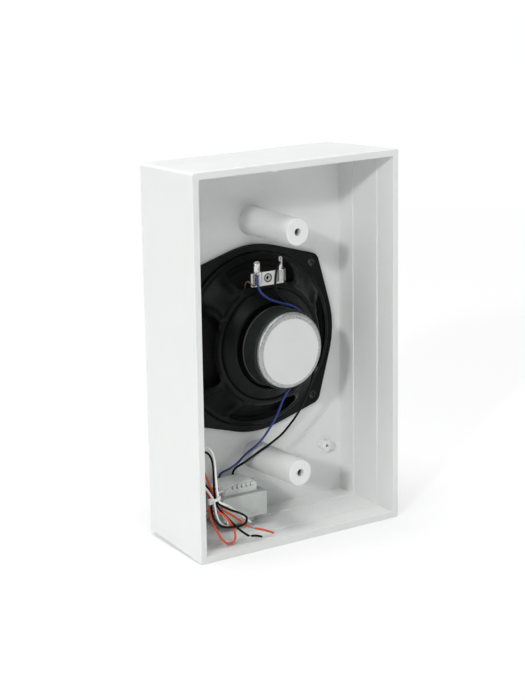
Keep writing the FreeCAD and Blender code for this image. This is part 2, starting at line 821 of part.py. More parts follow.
def cord_path(points, name):
    """Straight runs joined by tangent arcs, each arc as large as its two runs allow."""
    edges = []
    radii = []
    start = points[0]
    for before, corner, after in zip(points, points[1:], points[2:]):
        arriving = corner - before
        leaving = after - corner
        reach = bend_share * min(arriving.Length, leaving.Length)
        turn = arriving.getAngle(leaving)
        arriving.normalize()
        leaving.normalize()
        radius = reach / math.tan(turn / 2)
        radii.append(radius)
        arc_start = corner - arriving * reach
        arc_end = corner + leaving * reach
        inward = leaving - arriving
        inward.normalize()
        centre = corner + inward * (radius / math.cos(turn / 2))
        outward = corner - centre
        outward.normalize()
        edges.append(Part.LineSegment(start, arc_start).toShape())
        edges.append(Part.Arc(arc_start, centre + outward * radius, arc_end).toShape())
        start = arc_end
    edges.append(Part.LineSegment(start, points[-1]).toShape())
    print(name, "smallest radius", round(min(radii), 2), "radii", [round(radius, 1) for radius in radii])
    return Part.Wire(edges)


def make_cord(points, diameter, name):
    path = cord_path(points, name)
    section = Part.Wire(Part.makeCircle(diameter / 2, points[0], points[1] - points[0]))
    tube = path.makePipeShell([section], True, False)
    expected = math.pi * diameter ** 2 / 4 * path.Length
    print(name, "length", round(path.Length, 1), "volume over section times length",
          round(tube.Volume / expected, 4))
    return tube


def make_strand(lead_end, tip):
    """Bare wire from just beyond a lead's cut end to its tip."""
    run = tip - lead_end
    run.normalize()
    start = lead_end + run * strand_start_gap
    return Part.makeCylinder(strand_diameter / 2, (tip - start).Length, start, run)


def make_slug(lead_end, slug_start, tip):
    """Short piece of insulation left on the bare wire near its tip."""
    run = tip - lead_end
    run.normalize()
    start = lead_end + run * (slug_start - lead_end).dot(run)
    length = (tip - start).Length
    slug = Part.makeCylinder(lead_diameter / 2, length, start, run)
    return slug.cut(Part.makeCylinder(strand_diameter / 2 + slug_gap, length, start, run))


def make_tie():
    """Cable tie: a band round the bundle and its square head."""
    half = V(tie_opening_x / 2, tie_opening_y / 2, tie_band_width / 2)
    wall = V(tie_band, tie_band, 0)
    up = V(0, 0, 1)
    band = rounded_box(tie_centre - half - wall, tie_centre + half + wall, tie_corner_radius + tie_band, up)
    head_low = tie_centre + V(half.x + tie_band / 2, half.y + tie_band - tie_head.y, -tie_head_drop)
    tie = band.fuse(block(head_low, head_low + tie_head))
    return tie.cut(rounded_box(tie_centre - half, tie_centre + half, tie_corner_radius, up))


# Driver leads, from the tags past the magnet to the transformer
blue_route = [V(12.6, 5.2, 187.4), V(12.7, 5.2, 181.4), V(12.1, 6.2, 176.8), V(10.0, 7.7, 173.4),
              V(5.6, 9.7, 169.8), V(-0.9, 11.0, 167.0), V(-7.4, 11.4, 164.8), V(-14.2, 11.2, 162.2),
              V(-21.2, 10.8, 157.0), V(-26.9, 10.4, 149.0), V(-30.0, 10.0, 139.0), V(-29.4, 10.0, 127.2),
              V(-24.8, 10.3, 117.0), V(-17.8, 10.8, 109.4), V(-11.4, 11.0, 105.0), V(-7.6, 9.6, 100.6),
              V(-6.4, 6.4, 94.2), V(-5.6, 3.0, 86.6), V(-4.2, -0.4, 78.9), V(-0.2, -3.2, 70.9),
              V(4.1, -5.4, 64.2), V(8.3, -7.2, 60.0), V(13.1, -9.0, 56.4), V(16.9, -10.7, 52.6),
              V(20.2, -12.2, 48.6), V(24.2, -13.4, 45.8), V(28.4, -14.8, 43.9), V(31.8, -16.2, 42.5),
              V(33.4, -17.0, 40.2), V(33.55, -17.2, 36.65)]
black_route = [V(-6.6, 5.2, 194.4), V(-3.6, 5.5, 190.4), V(-2.0, 5.7, 183.2), V(-1.4, 6.2, 177.2),
               V(-3.0, 7.2, 171.0), V(-8.4, 8.5, 165.2), V(-16.8, 8.4, 161.0), V(-24.4, 8.2, 153.8),
               V(-30.0, 8.0, 143.9), V(-33.2, 7.8, 132.5), V(-34.8, 7.4, 120.5), V(-33.8, 6.2, 109.5),
               V(-31.5, 4.6, 99.5), V(-28.7, 3.0, 90.9), V(-25.8, 1.5, 84.6), V(-22.1, 0.0, 78.0),
               V(-17.2, -1.0, 72.4), V(-11.4, -1.2, 67.2), V(-4.2, -0.6, 63.8), V(3.0, 0.0, 60.8),
               V(8.8, -1.6, 57.7), V(13.5, -4.8, 53.3), V(17.4, -8.6, 48.9), V(20.2, -12.0, 46.2),
               V(21.5, -15.0, 43.6), V(21.85, -16.8, 40.4), V(21.85, -17.2, 36.65)]

# Supply leads, from the winding to the tied bundle; each loops up, down and ends in a loose tail
white_route = [V(39.55, 0.5, 34.4), V(47.0, 2.6, 36.0), V(53.4, 8.0, 33.6), V(55.2, 14.6, 27.8),
               V(53.0, 20.4, 22.2), V(53.6, 25.2, 19.0), V(58.2, 28.0, 19.6), V(63.2, 28.6, 23.2),
               V(66.0, 28.6, 29.4), V(67.1, 28.8, 36.0), V(68.2, 28.9, 41.4), V(69.9, 26.8, 45.6),
               V(70.6, 22.4, 48.6), V(71.3, 18.0, 52.0), V(71.7, 13.4, 57.0), V(71.5, 10.6, 64.2),
               V(71.2, 11.8, 71.4), V(69.9, 16.0, 76.2), V(68.0, 20.6, 77.2), V(66.5, 24.2, 75.4),
               V(65.6, 26.6, 71.2), V(65.6, 27.8, 64.2), V(65.5, 28.2, 56.4), V(65.1, 28.5, 48.6),
               V(64.3, 28.7, 42.7), V(63.5, 28.8, 38.4), V(60.0, 29.1, 36.6), V(55.0, 29.0, 33.4),
               V(48.2, 28.0, 28.2), V(41.6, 27.0, 22.8), V(36.2, 26.2, 17.8)]
black_supply_route = [V(39.55, -5.0, 34.4), V(47.4, -3.2, 36.6), V(54.6, 2.6, 38.8), V(60.2, 9.6, 39.2),
                      V(62.4, 16.6, 38.6), V(62.6, 22.6, 37.4), V(61.2, 27.8, 35.2), V(56.8, 31.5, 32.4),
                      V(51.0, 31.8, 29.8), V(46.0, 31.8, 27.0), V(42.6, 31.8, 24.2), V(43.4, 31.8, 20.4),
                      V(47.6, 31.8, 18.9), V(54.2, 31.8, 19.2), V(60.6, 31.8, 20.4), V(66.4, 31.8, 23.6),
                      V(69.8, 31.4, 28.4), V(70.4, 29.8, 33.0), V(69.2, 27.4, 36.8), V(67.7, 26.5, 41.6),
                      V(67.8, 24.2, 46.2), V(68.4, 19.4, 49.6), V(68.8, 15.4, 53.6), V(68.9, 12.4, 59.2),
                      V(68.6, 11.6, 65.6), V(68.1, 14.2, 70.8), V(67.4, 18.6, 73.0), V(66.7, 22.4, 71.8),
                      V(66.0, 25.0, 68.2), V(65.8, 26.1, 61.6), V(66.0, 26.4, 54.2), V(66.0, 26.5, 47.0),
                      V(65.4, 26.6, 41.4), V(64.6, 26.7, 36.8), V(62.6, 26.8, 33.0), V(58.6, 26.8, 28.2),
                      V(53.8, 27.2, 22.8), V(49.6, 28.8, 17.6), V(45.4, 30.4, 13.2), V(41.2, 31.3, 10.2)]
red_route = [V(39.55, -10.0, 34.4), V(47.4, -8.8, 35.4), V(55.2, -4.6, 33.8), V(62.0, 2.4, 31.0),
             V(65.8, 10.0, 29.6), V(66.0, 17.6, 29.6), V(65.0, 23.4, 30.8), V(62.8, 28.0, 30.8),
             V(59.4, 29.8, 27.8), V(55.8, 29.9, 22.8), V(52.4, 29.9, 17.0), V(50.9, 29.7, 11.6),
             V(52.4, 29.5, 7.6), V(56.6, 29.4, 6.6), V(60.8, 29.4, 9.4), V(64.0, 29.4, 14.0),
             V(67.0, 29.4, 19.4), V(69.8, 29.2, 25.2), V(71.0, 28.0, 30.6), V(69.4, 25.6, 35.4),
             V(68.6, 24.9, 41.4), V(69.4, 21.8, 45.4), V(69.6, 17.2, 47.6), V(69.4, 12.6, 50.0),
             V(68.4, 8.8, 54.2), V(67.2, 6.6, 59.4), V(66.0, 7.6, 64.8), V(65.4, 11.8, 66.6),
             V(65.6, 15.8, 63.0), V(66.2, 18.4, 57.6), V(66.7, 20.8, 52.4), V(66.5, 22.8, 48.4),
             V(65.9, 24.2, 45.2), V(65.3, 24.7, 40.8), V(64.6, 24.2, 36.2), V(61.2, 23.4, 32.8),
             V(56.0, 23.2, 29.2), V(50.2, 24.0, 25.4), V(44.2, 26.0, 20.0), V(38.6, 27.8, 15.2)]

# Tips of the supply leads, as (slug start, wire tip); the white one has no slug
red_tip = (V(33.8, 28.4, 13.3), V(19.4, 30.0, 7.4))
black_tip = (V(39.0, 31.4, 9.7), V(30.4, 31.4, 7.3))
white_tip_end = V(33.4, 25.8, 15.4)

export(make_cabinet(), "cabinet")
export(make_grille(), "front_grille")
export(flange_plate(baffle_rear, gasket_thickness, cutout_radius), "driver_gasket")
export(make_basket(), "driver_basket")
driver_screws = []
for ear in ear_angles:
    spot = driver_point(pitch_radius, ear, flange_rear)
    screw_length = flange_rear - baffle_front - screw_tip_inset
    driver_screws.append(pan_screw(screw_radius, screw_length, screw_head_radius, screw_head_height,
                                   spot.x, spot.y, spot.z))
export(Part.makeCompound(driver_screws), "driver_screws")
export(ring(top_plate_radius, gap_outer_radius, seat_rear, top_plate_rear), "magnet_top_plate")
export(make_magnet(), "ferrite_magnet")
export(make_yoke(), "magnet_yoke")
export(cylinder(label_radius, back_plate_rear, back_plate_rear + label_thickness), "magnet_label")
export(make_cone(), "cone")
export(make_dust_cap(), "dust_cap")
export(ring(former_radius, former_inner_radius, former_front, former_rear), "voice_coil_former")
coil_middle = (seat_rear + top_plate_rear) / 2
export(ring(former_radius + winding_wall, former_radius, coil_middle - winding_length / 2,
            coil_middle + winding_length / 2), "voice_coil_winding")
export(make_surround(), "surround")
export(make_spider(), "spider")
export(make_board(), "terminal_board")
export(make_eyelet(), "terminal_eyelet")
export(make_tag(1, tag_rise_left, tag_width), "solder_tag_left")
export(make_tag(-1, tag_rise_right, narrow_tag_width), "solder_tag_right")
export(make_sleeve(1), "tag_sleeve_left")
export(make_sleeve(-1), "tag_sleeve_right")
export(make_core(), "transformer_core")
export(make_bobbin(), "transformer_bobbin")
export(make_winding(), "transformer_winding")
export(make_bracket(), "transformer_bracket")
export(make_pins(), "transformer_pins")
foot_screws = []
for foot_x, foot_z in foot_screw_places():
    seat = baffle_rear + bracket_sheet
    foot_screws.append(pan_screw(foot_screw_radius, seat - baffle_front - screw_tip_inset,
                                 foot_screw_head_radius, foot_screw_head_height, foot_x, seat, foot_z))
export(Part.makeCompound(foot_screws), "transformer_screws")
export(make_cord(blue_route, lead_diameter, "driver_lead_blue"), "driver_lead_blue")
export(make_cord(black_route, lead_diameter, "driver_lead_black"), "driver_lead_black")
export(make_cord(white_route, lead_diameter, "supply_lead_white"), "supply_lead_white")
export(make_cord(black_supply_route, lead_diameter, "supply_lead_black"), "supply_lead_black")
export(make_cord(red_route, lead_diameter, "supply_lead_red"), "supply_lead_red")
export(make_strand(white_route[-1], white_tip_end), "bare_strand_white")
export(make_strand(black_supply_route[-1], black_tip[1]), "bare_strand_black")
export(make_strand(red_route[-1], red_tip[1]), "bare_strand_red")
export(make_slug(black_supply_route[-1], *black_tip), "insulation_slug_black")
export(make_slug(red_route[-1], *red_tip), "insulation_slug_red")
export(make_tie(), "cable_tie")
export(make_cord(tinsel_route(1), tinsel_diameter, "tinsel_lead_left"), "tinsel_lead_left")
export(make_cord(tinsel_route(-1), tinsel_diameter, "tinsel_lead_right"), "tinsel_lead_right")
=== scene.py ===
import json
import math

import bpy
from mathutils import Matrix, Vector, noise as field


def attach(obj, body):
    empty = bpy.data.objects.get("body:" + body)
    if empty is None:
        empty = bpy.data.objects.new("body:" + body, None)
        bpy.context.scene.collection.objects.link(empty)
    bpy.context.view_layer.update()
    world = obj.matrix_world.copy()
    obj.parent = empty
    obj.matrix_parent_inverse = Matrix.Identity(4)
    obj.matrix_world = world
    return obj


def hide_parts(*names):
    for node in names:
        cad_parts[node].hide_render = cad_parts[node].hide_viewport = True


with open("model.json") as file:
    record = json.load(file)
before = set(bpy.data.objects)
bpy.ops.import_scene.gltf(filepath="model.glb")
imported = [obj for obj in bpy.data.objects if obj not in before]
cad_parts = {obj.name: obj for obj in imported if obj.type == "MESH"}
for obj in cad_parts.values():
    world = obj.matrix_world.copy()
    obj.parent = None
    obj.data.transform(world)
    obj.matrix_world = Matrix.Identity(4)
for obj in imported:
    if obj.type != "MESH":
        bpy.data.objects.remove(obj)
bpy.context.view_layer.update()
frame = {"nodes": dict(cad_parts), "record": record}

# An open-backed wall loudspeaker, dressed round its solid model. Metres throughout.

FIXED_BODY = "speaker"

# Camera
CAMERA_PLACE = Vector((0.77505, 1.12426, 0.47400))
CAMERA_FORWARD = Vector((-0.54766, -0.80044, -0.24364))
CAMERA_UP = Vector((-0.15036, -0.19230, 0.96975))
CAMERA_LENS = 102.73
CAMERA_SENSOR = 36.0

# Basket: its axis and its flange with four ears
DRIVER_HEIGHT = 0.1356
FLANGE_REAR = -0.0182
BASKET_SHEET = 0.001
FLANGE_RADIUS = 0.068
FLANGE_INNER = 0.0631
FLANGE_SHARES = (0.0, 0.06, 0.16, 0.5, 0.85, 1.0)
EAR_RADIUS = 0.007
EAR_PITCH = 0.0698
EAR_ANGLE = 44.8

# Basket: its spokes, their raised lips and the windows between them
SPOKES = 4
FIRST_SPOKE = 45
SPOKE_HALF_ANGLE = 16.0
SPOKE_SLOPE = 0.822
SPOKE_START = (0.0595, 0.0032)
SPOKE_COLUMNS = (0.0, 0.04, 0.08, 0.12, 0.18, 0.27, 0.38, 0.5, 0.62, 0.72, 0.8, 0.87, 0.94, 1.0)
SPOKE_HOLLOW = 0.0007
HOLLOW_REACH = 0.6
SPOKE_LIP = 0.0022
LIP_ACROSS = (0.55, 0.8)
LIP_RISE_END = 0.5
LIP_FALL_START = 0.75
LIP_END_SHARE = 0.65
LIP_END_RADIUS = 0.0424
WINDOW_INNER = 0.0442
WINDOW_OUTER = 0.0586
WINDOW_CORNER = 0.004
WINDOW_COLUMNS = 20
CORNER_STEPS = 6
BETWEEN_STEPS = 7

# Basket: pressed lines as (radius, distance behind the flange) from the outside inwards
STEP_LINE = [(0.0628, 0.0003), (0.0625, 0.0011), (0.0622, 0.0020), (0.0617, 0.0026), (0.0609, 0.0029),
             (0.0600, 0.0031), (0.0593, 0.0034)]
CUP_LINE = [(0.0439, 0.0162), (0.0435, 0.0168), (0.0430, 0.0175), (0.0424, 0.0181), (0.0417, 0.0185),
            (0.0410, 0.0185), (0.0404, 0.0181), (0.0399, 0.0178), (0.0394, 0.0181), (0.0389, 0.0188),
            (0.0382, 0.0195), (0.0368, 0.0206), (0.0352, 0.0218), (0.0338, 0.0229), (0.0328, 0.0236),
            (0.0320, 0.0241), (0.0314, 0.0242), (0.0309, 0.0239), (0.0306, 0.0231), (0.0302, 0.0224),
            (0.0294, 0.0222), (0.0270, 0.0222), (0.0210, 0.0222), (0.0150, 0.0222)]

# Basket: the tab behind the terminal board, its line as (height, y)
TAB_MIDDLE = 0.0018
TAB_HALF_WIDTH = 0.0065
TAB_SHARES = (-1.0, -0.92, -0.5, 0.0, 0.5, 0.92, 1.0)
TAB_LINE = [(0.1756, -0.0004), (0.1772, 0.0002), (0.1788, 0.0007), (0.1806, 0.0009), (0.1840, 0.0009),
            (0.1870, 0.0009)]

# Eyelet: its rolled rim as (share of its radius, distance before its rear end)
EYELET_RIM = [(1.0, 0.00045), (1.0, 0.0001), (0.94, 0.0), (0.88, 0.0001), (0.84, 0.0005), (0.74, 0.0005),
              (0.70, 0.0001), (0.62, 0.0), (0.52, 0.0001), (0.44, 0.0005), (0.42, 0.0010)]
EYELET_BORE = 0.42
EYELET_BARREL = 0.56
EYELET_RIM_DEPTH = 0.00075
EYELET_SIDES = 40

# Solder on the tags: sections as (shift, distance below the tag's top, half width, half depth)
SOLDER_LEFT = [(0.0, 0.0086, 0.0008, 0.0005), (-0.0001, 0.0080, 0.0018, 0.0011),
               (0.0, 0.0066, 0.0022, 0.0014), (0.0001, 0.0050, 0.0024, 0.0012),
               (0.0, 0.0036, 0.0023, 0.0010), (-0.0001, 0.0022, 0.0024, 0.0011),
               (0.0, 0.0010, 0.0020, 0.0009), (0.0, 0.0003, 0.0010, 0.0005)]
SOLDER_RIGHT = [(-0.0004, 0.0106, 0.0008, 0.0005), (-0.0003, 0.0098, 0.0017, 0.0011),
                (0.0, 0.0086, 0.0015, 0.0010), (0.0003, 0.0074, 0.0011, 0.0008),
                (0.0004, 0.0062, 0.0016, 0.0012), (0.0002, 0.0050, 0.0011, 0.0008),
                (0.0, 0.0036, 0.0014, 0.0009), (0.0, 0.0018, 0.0014, 0.0008), (0.0, 0.0005, 0.0009, 0.0005)]
SOLDER_INSET = 0.0004
SOLDER_UNEVEN = 0.5
SOLDER_SEEDS = (1.7, 5.1)

# Nub under the top wall: sections as (height, half width, half depth)
NUB_PLACE = (0.0172, 0.0345, 0.2648)
NUB_SECTIONS = [(-0.0016, 0.0010, 0.0007), (-0.0014, 0.0017, 0.0011), (-0.0009, 0.0023, 0.0015),
                (0.0, 0.0026, 0.0017), (0.0012, 0.0027, 0.0018)]
NUB_UNEVEN = 0.1
NUB_SEED = 3.3
LUMP_SIDES = 24
LUMP_WAVES = 900

# Magnet's front plate: its rear edge as (distance inside its radius, distance before its rear face)
PLATE_BORE = 0.015
PLATE_CHAMFER = 0.0002
PLATE_STEP = 0.0012
PLATE_EDGE_RADIUS = 0.0286
PLATE_EDGE_LINE = [(0.0001, 0.0009), (0.0, 0.0007), (0.0, 0.0003), (0.0002, 0.0)]
# Where the lighter band near the plate's rear face begins and how soon it blends in: a bare rim with a
# painted highlight along it
PLATE_BARE_GLINT_FROM = 0.0088
PLATE_BARE_GLINT_BLEND = 0.0001
PLATE_SIDES = 128

# Label on the back plate
LABEL_RADIUS = 0.0233
LABEL_SHIFT = (-0.0002, -0.0008)
LABEL_EDGE = 0.00005
LABEL_SIDES = 128

# Transformer: bobbin flanges, terminal comb and coil; the dome is their outline above the core
BOBBIN_MIDDLE = 0.02895
BOBBIN_HALF_WIDTH = 0.0109
BOBBIN_LOW = 0.0096
BOBBIN_EDGE = 0.0002
DOME_LOW = 0.0320
DOME_LINE = [(0.0437, 0.0320), (0.0434, 0.0344), (0.0414, 0.0366), (0.0386, 0.0379), (0.0349, 0.0386),
             (0.0300, 0.0388), (0.0240, 0.0388), (0.0186, 0.0388), (0.0167, 0.0385), (0.0162, 0.0364),
             (0.0160, 0.0320)]
DOME_CUT = 0.25
DOME_CUTS = 2
REAR_FLANGE = (0.0027, 0.0037)
FRONT_FLANGE = (-0.0156, -0.0146)
FRONT_RISE = 1.08
COMB_REAR = 0.0050
SLOT_LOW = 0.0361
SLOT_HALF_WIDTH = 0.0006
PIN_PITCH = 0.0038
PIN_STEPS = (2, 1, 0, -1, -2)
COIL_INSET = 0.0006
COIL_RINGS = 19
COIL_RISE = 1.13
COIL_CROWN = 0.09
TAPE_STEP = 0.015
TAPE_RINGS = 6

# Cable tie: its band's section as (share of its thickness, share of its width)
TIE_MIDDLE = (0.0663, 0.0268, 0.0412)
TIE_HALF_X = 0.0035
TIE_HALF_Y = 0.0032
TIE_BAND = 0.0008
TIE_WIDTH = 0.0021
TIE_SECTION = [(0.0, -0.5), (0.25, -0.5), (0.75, -0.5), (1.0, -0.38), (1.0, 0.38), (0.75, 0.5), (0.25, 0.5),
               (0.0, 0.5)]
TIE_SQUARENESS = 0.7
TIE_TILT = 0.2
TIE_EDGE = 0.00025
TIE_SIDES = 56
TIE_HEAD = (0.0038, 0.0030, 0.0034)
TIE_HEAD_PLACE = (0.0708, 0.0282, 0.0416)
TIE_WINDOW = (0.55, 0.5)
TIE_WINDOW_DEPTH = 0.0007

# Bare ends of the supply leads and the insulation left on two of them
WHITE_TIP = (0.0334, 0.0258, 0.0154)
BLACK_TIP = [(0.0390, 0.0314, 0.0097), (0.0304, 0.0314, 0.0073)]
RED_TIP = [(0.0338, 0.0284, 0.0133), (0.0194, 0.0300, 0.0074)]
STRAND_WIRES = 6
STRAND_WIRE = 0.00034
STRAND_REACH = 0.0003
STRAND_UNEVEN = 0.35
STRAND_WAVE = (3.1, 5.0)
STRAND_TURNS = 1.2
STRAND_STEPS = 24
STRAND_SIDES = 8
SLUG_BEND = 0.0004
SLUG_EDGE = 0.00012
SLUG_STEPS = 16
SLUG_SIDES = 20

# Leads: their diameter, their curves' detail and their routes
LEAD_DIAMETER = 0.0016
CURVE_STEPS = 12
CURVE_SIDES = 5
DRIVER_BLUE = [
    (0.0126, 0.0052, 0.1874), (0.0127, 0.0052, 0.1814), (0.0121, 0.0062, 0.1768),
    (0.0100, 0.0077, 0.1734), (0.0056, 0.0097, 0.1698), (-0.0009, 0.0110, 0.1670),
    (-0.0074, 0.0114, 0.1648), (-0.0142, 0.0112, 0.1622), (-0.0212, 0.0108, 0.1570),
    (-0.0269, 0.0104, 0.1490), (-0.0300, 0.0100, 0.1390), (-0.0294, 0.0100, 0.1272),
    (-0.0248, 0.0103, 0.1170), (-0.0178, 0.0108, 0.1094), (-0.0114, 0.0110, 0.1050),
    (-0.0076, 0.0096, 0.1006), (-0.0064, 0.0064, 0.0942), (-0.0056, 0.0030, 0.0866),
    (-0.0042, -0.0004, 0.0789), (-0.0002, -0.0032, 0.0709), (0.0041, -0.0054, 0.0642),
    (0.0083, -0.0072, 0.0600), (0.0131, -0.0090, 0.0564), (0.0169, -0.0107, 0.0526),
    (0.0202, -0.0122, 0.0486), (0.0242, -0.0134, 0.0458), (0.0284, -0.0148, 0.0439),
    (0.0318, -0.0162, 0.0425), (0.0334, -0.0170, 0.0402), (0.03355, -0.0172, 0.03665),
]
DRIVER_BLACK = [
    (-0.0066, 0.0052, 0.1944), (-0.0036, 0.0055, 0.1904), (-0.0020, 0.0057, 0.1832),
    (-0.0014, 0.0062, 0.1772), (-0.0030, 0.0072, 0.1710), (-0.0084, 0.0085, 0.1652),
    (-0.0168, 0.0084, 0.1610), (-0.0244, 0.0082, 0.1538), (-0.0300, 0.0080, 0.1439),
    (-0.0332, 0.0078, 0.1325), (-0.0348, 0.0074, 0.1205), (-0.0338, 0.0062, 0.1095),
    (-0.0315, 0.0046, 0.0995), (-0.0287, 0.0030, 0.0909), (-0.0258, 0.0015, 0.0846),
    (-0.0221, 0.0000, 0.0780), (-0.0172, -0.0010, 0.0724), (-0.0114, -0.0012, 0.0672),
    (-0.0042, -0.0006, 0.0638), (0.0030, 0.0000, 0.0608), (0.0088, -0.0016, 0.0577),
    (0.0135, -0.0048, 0.0533), (0.0174, -0.0086, 0.0489), (0.0202, -0.0120, 0.0462),
    (0.0215, -0.0150, 0.0436), (0.02185, -0.0168, 0.0404), (0.02185, -0.0172, 0.03665),
]
SUPPLY_WHITE = [
    (0.03955, 0.0005, 0.0344), (0.0470, 0.0026, 0.0360), (0.0534, 0.0080, 0.0336),
    (0.0552, 0.0146, 0.0278), (0.0530, 0.0204, 0.0222), (0.0536, 0.0252, 0.0190),
    (0.0582, 0.0280, 0.0196), (0.0632, 0.0286, 0.0232), (0.0660, 0.0286, 0.0294),
    (0.0671, 0.0288, 0.0360), (0.0682, 0.0289, 0.0414), (0.0699, 0.0268, 0.0456),
    (0.0706, 0.0224, 0.0486), (0.0713, 0.0180, 0.0520), (0.0717, 0.0134, 0.0570),
    (0.0715, 0.0106, 0.0642), (0.0712, 0.0118, 0.0714), (0.0699, 0.0160, 0.0762),
    (0.0680, 0.0206, 0.0772), (0.0665, 0.0242, 0.0754), (0.0656, 0.0266, 0.0712),
    (0.0656, 0.0278, 0.0642), (0.0655, 0.0282, 0.0564), (0.0651, 0.0285, 0.0486),
    (0.0643, 0.0287, 0.0427), (0.0635, 0.0288, 0.0384), (0.0600, 0.0291, 0.0366),
    (0.0550, 0.0290, 0.0334), (0.0482, 0.0280, 0.0282), (0.0416, 0.0270, 0.0228),
    (0.0362, 0.0262, 0.0178),
]
SUPPLY_BLACK = [
    (0.03955, -0.0050, 0.0344), (0.0474, -0.0032, 0.0366), (0.0546, 0.0026, 0.0388),
    (0.0602, 0.0096, 0.0392), (0.0624, 0.0166, 0.0386), (0.0626, 0.0226, 0.0374),
    (0.0612, 0.0278, 0.0352), (0.0568, 0.0315, 0.0324), (0.0510, 0.0318, 0.0298),
    (0.0460, 0.0318, 0.0270), (0.0426, 0.0318, 0.0242), (0.0434, 0.0318, 0.0204),
    (0.0476, 0.0318, 0.0189), (0.0542, 0.0318, 0.0192), (0.0606, 0.0318, 0.0204),
    (0.0664, 0.0318, 0.0236), (0.0698, 0.0314, 0.0284), (0.0704, 0.0298, 0.0330),
    (0.0692, 0.0274, 0.0368), (0.0677, 0.0265, 0.0416), (0.0678, 0.0242, 0.0462),
    (0.0684, 0.0194, 0.0496), (0.0688, 0.0154, 0.0536), (0.0689, 0.0124, 0.0592),
    (0.0686, 0.0116, 0.0656), (0.0681, 0.0142, 0.0708), (0.0674, 0.0186, 0.0730),
    (0.0667, 0.0224, 0.0718), (0.0660, 0.0250, 0.0682), (0.0658, 0.0261, 0.0616),
    (0.0660, 0.0264, 0.0542), (0.0660, 0.0265, 0.0470), (0.0654, 0.0266, 0.0414),
    (0.0646, 0.0267, 0.0368), (0.0626, 0.0268, 0.0330), (0.0586, 0.0268, 0.0282),
    (0.0538, 0.0272, 0.0228), (0.0496, 0.0288, 0.0176), (0.0454, 0.0304, 0.0132),
    (0.0412, 0.0313, 0.0102),
]
SUPPLY_RED = [
    (0.03955, -0.0100, 0.0344), (0.0474, -0.0088, 0.0354), (0.0552, -0.0046, 0.0338),
    (0.0620, 0.0024, 0.0310), (0.0658, 0.0100, 0.0296), (0.0660, 0.0176, 0.0296),
    (0.0650, 0.0234, 0.0308), (0.0628, 0.0280, 0.0308), (0.0594, 0.0298, 0.0278),
    (0.0558, 0.0299, 0.0228), (0.0524, 0.0299, 0.0170), (0.0509, 0.0297, 0.0116),
    (0.0524, 0.0295, 0.0076), (0.0566, 0.0294, 0.0066), (0.0608, 0.0294, 0.0094),
    (0.0640, 0.0294, 0.0140), (0.0670, 0.0294, 0.0194), (0.0698, 0.0292, 0.0252),
    (0.0710, 0.0280, 0.0306), (0.0694, 0.0256, 0.0354), (0.0686, 0.0249, 0.0414),
    (0.0694, 0.0218, 0.0454), (0.0696, 0.0172, 0.0476), (0.0694, 0.0126, 0.0500),
    (0.0684, 0.0088, 0.0542), (0.0672, 0.0066, 0.0594), (0.0664, 0.0072, 0.0640),
    (0.0666, 0.0104, 0.0650), (0.0670, 0.0132, 0.0616), (0.0672, 0.0164, 0.0572),
    (0.0669, 0.0196, 0.0528), (0.0665, 0.0228, 0.0484), (0.0659, 0.0242, 0.0452),
    (0.0653, 0.0247, 0.0408), (0.0646, 0.0242, 0.0362), (0.0612, 0.0234, 0.0328),
    (0.0560, 0.0232, 0.0292), (0.0502, 0.0240, 0.0254), (0.0442, 0.0260, 0.0200),
    (0.0386, 0.0278, 0.0152),
]

# Light and stage
KEY_DIRECTION = (0.774, 0.520, 0.360)
KEY_ANGLE = 4.5
KEY_STRENGTH = 1.0
LAMPS = {
    "side": dict(place=(1.8, -0.3, 0.5), target=(0, 0, 0.13), size=1.2, power=5.5),
    "front": dict(place=(-0.2, -1.9, 0.4), target=(0, 0, 0.13), size=1.6, power=5),
    "overhead": dict(place=(0.3, 0.2, 4.0), target=(0, 0, 0), size=3.0, power=152),
    "fill": dict(place=(0.40, 1.13, 0.99), target=(0, 0, DRIVER_HEIGHT), size=0.5, power=2.4),
}
AMBIENT = 0.22
FLOOR_COLOR = (0.86, 0.86, 0.86, 1)
FLOOR_WHITE = 0.45
FLOOR_NEAR = 0.4
FLOOR_FAR = 1.4
FLOOR_SIZE = 12.0

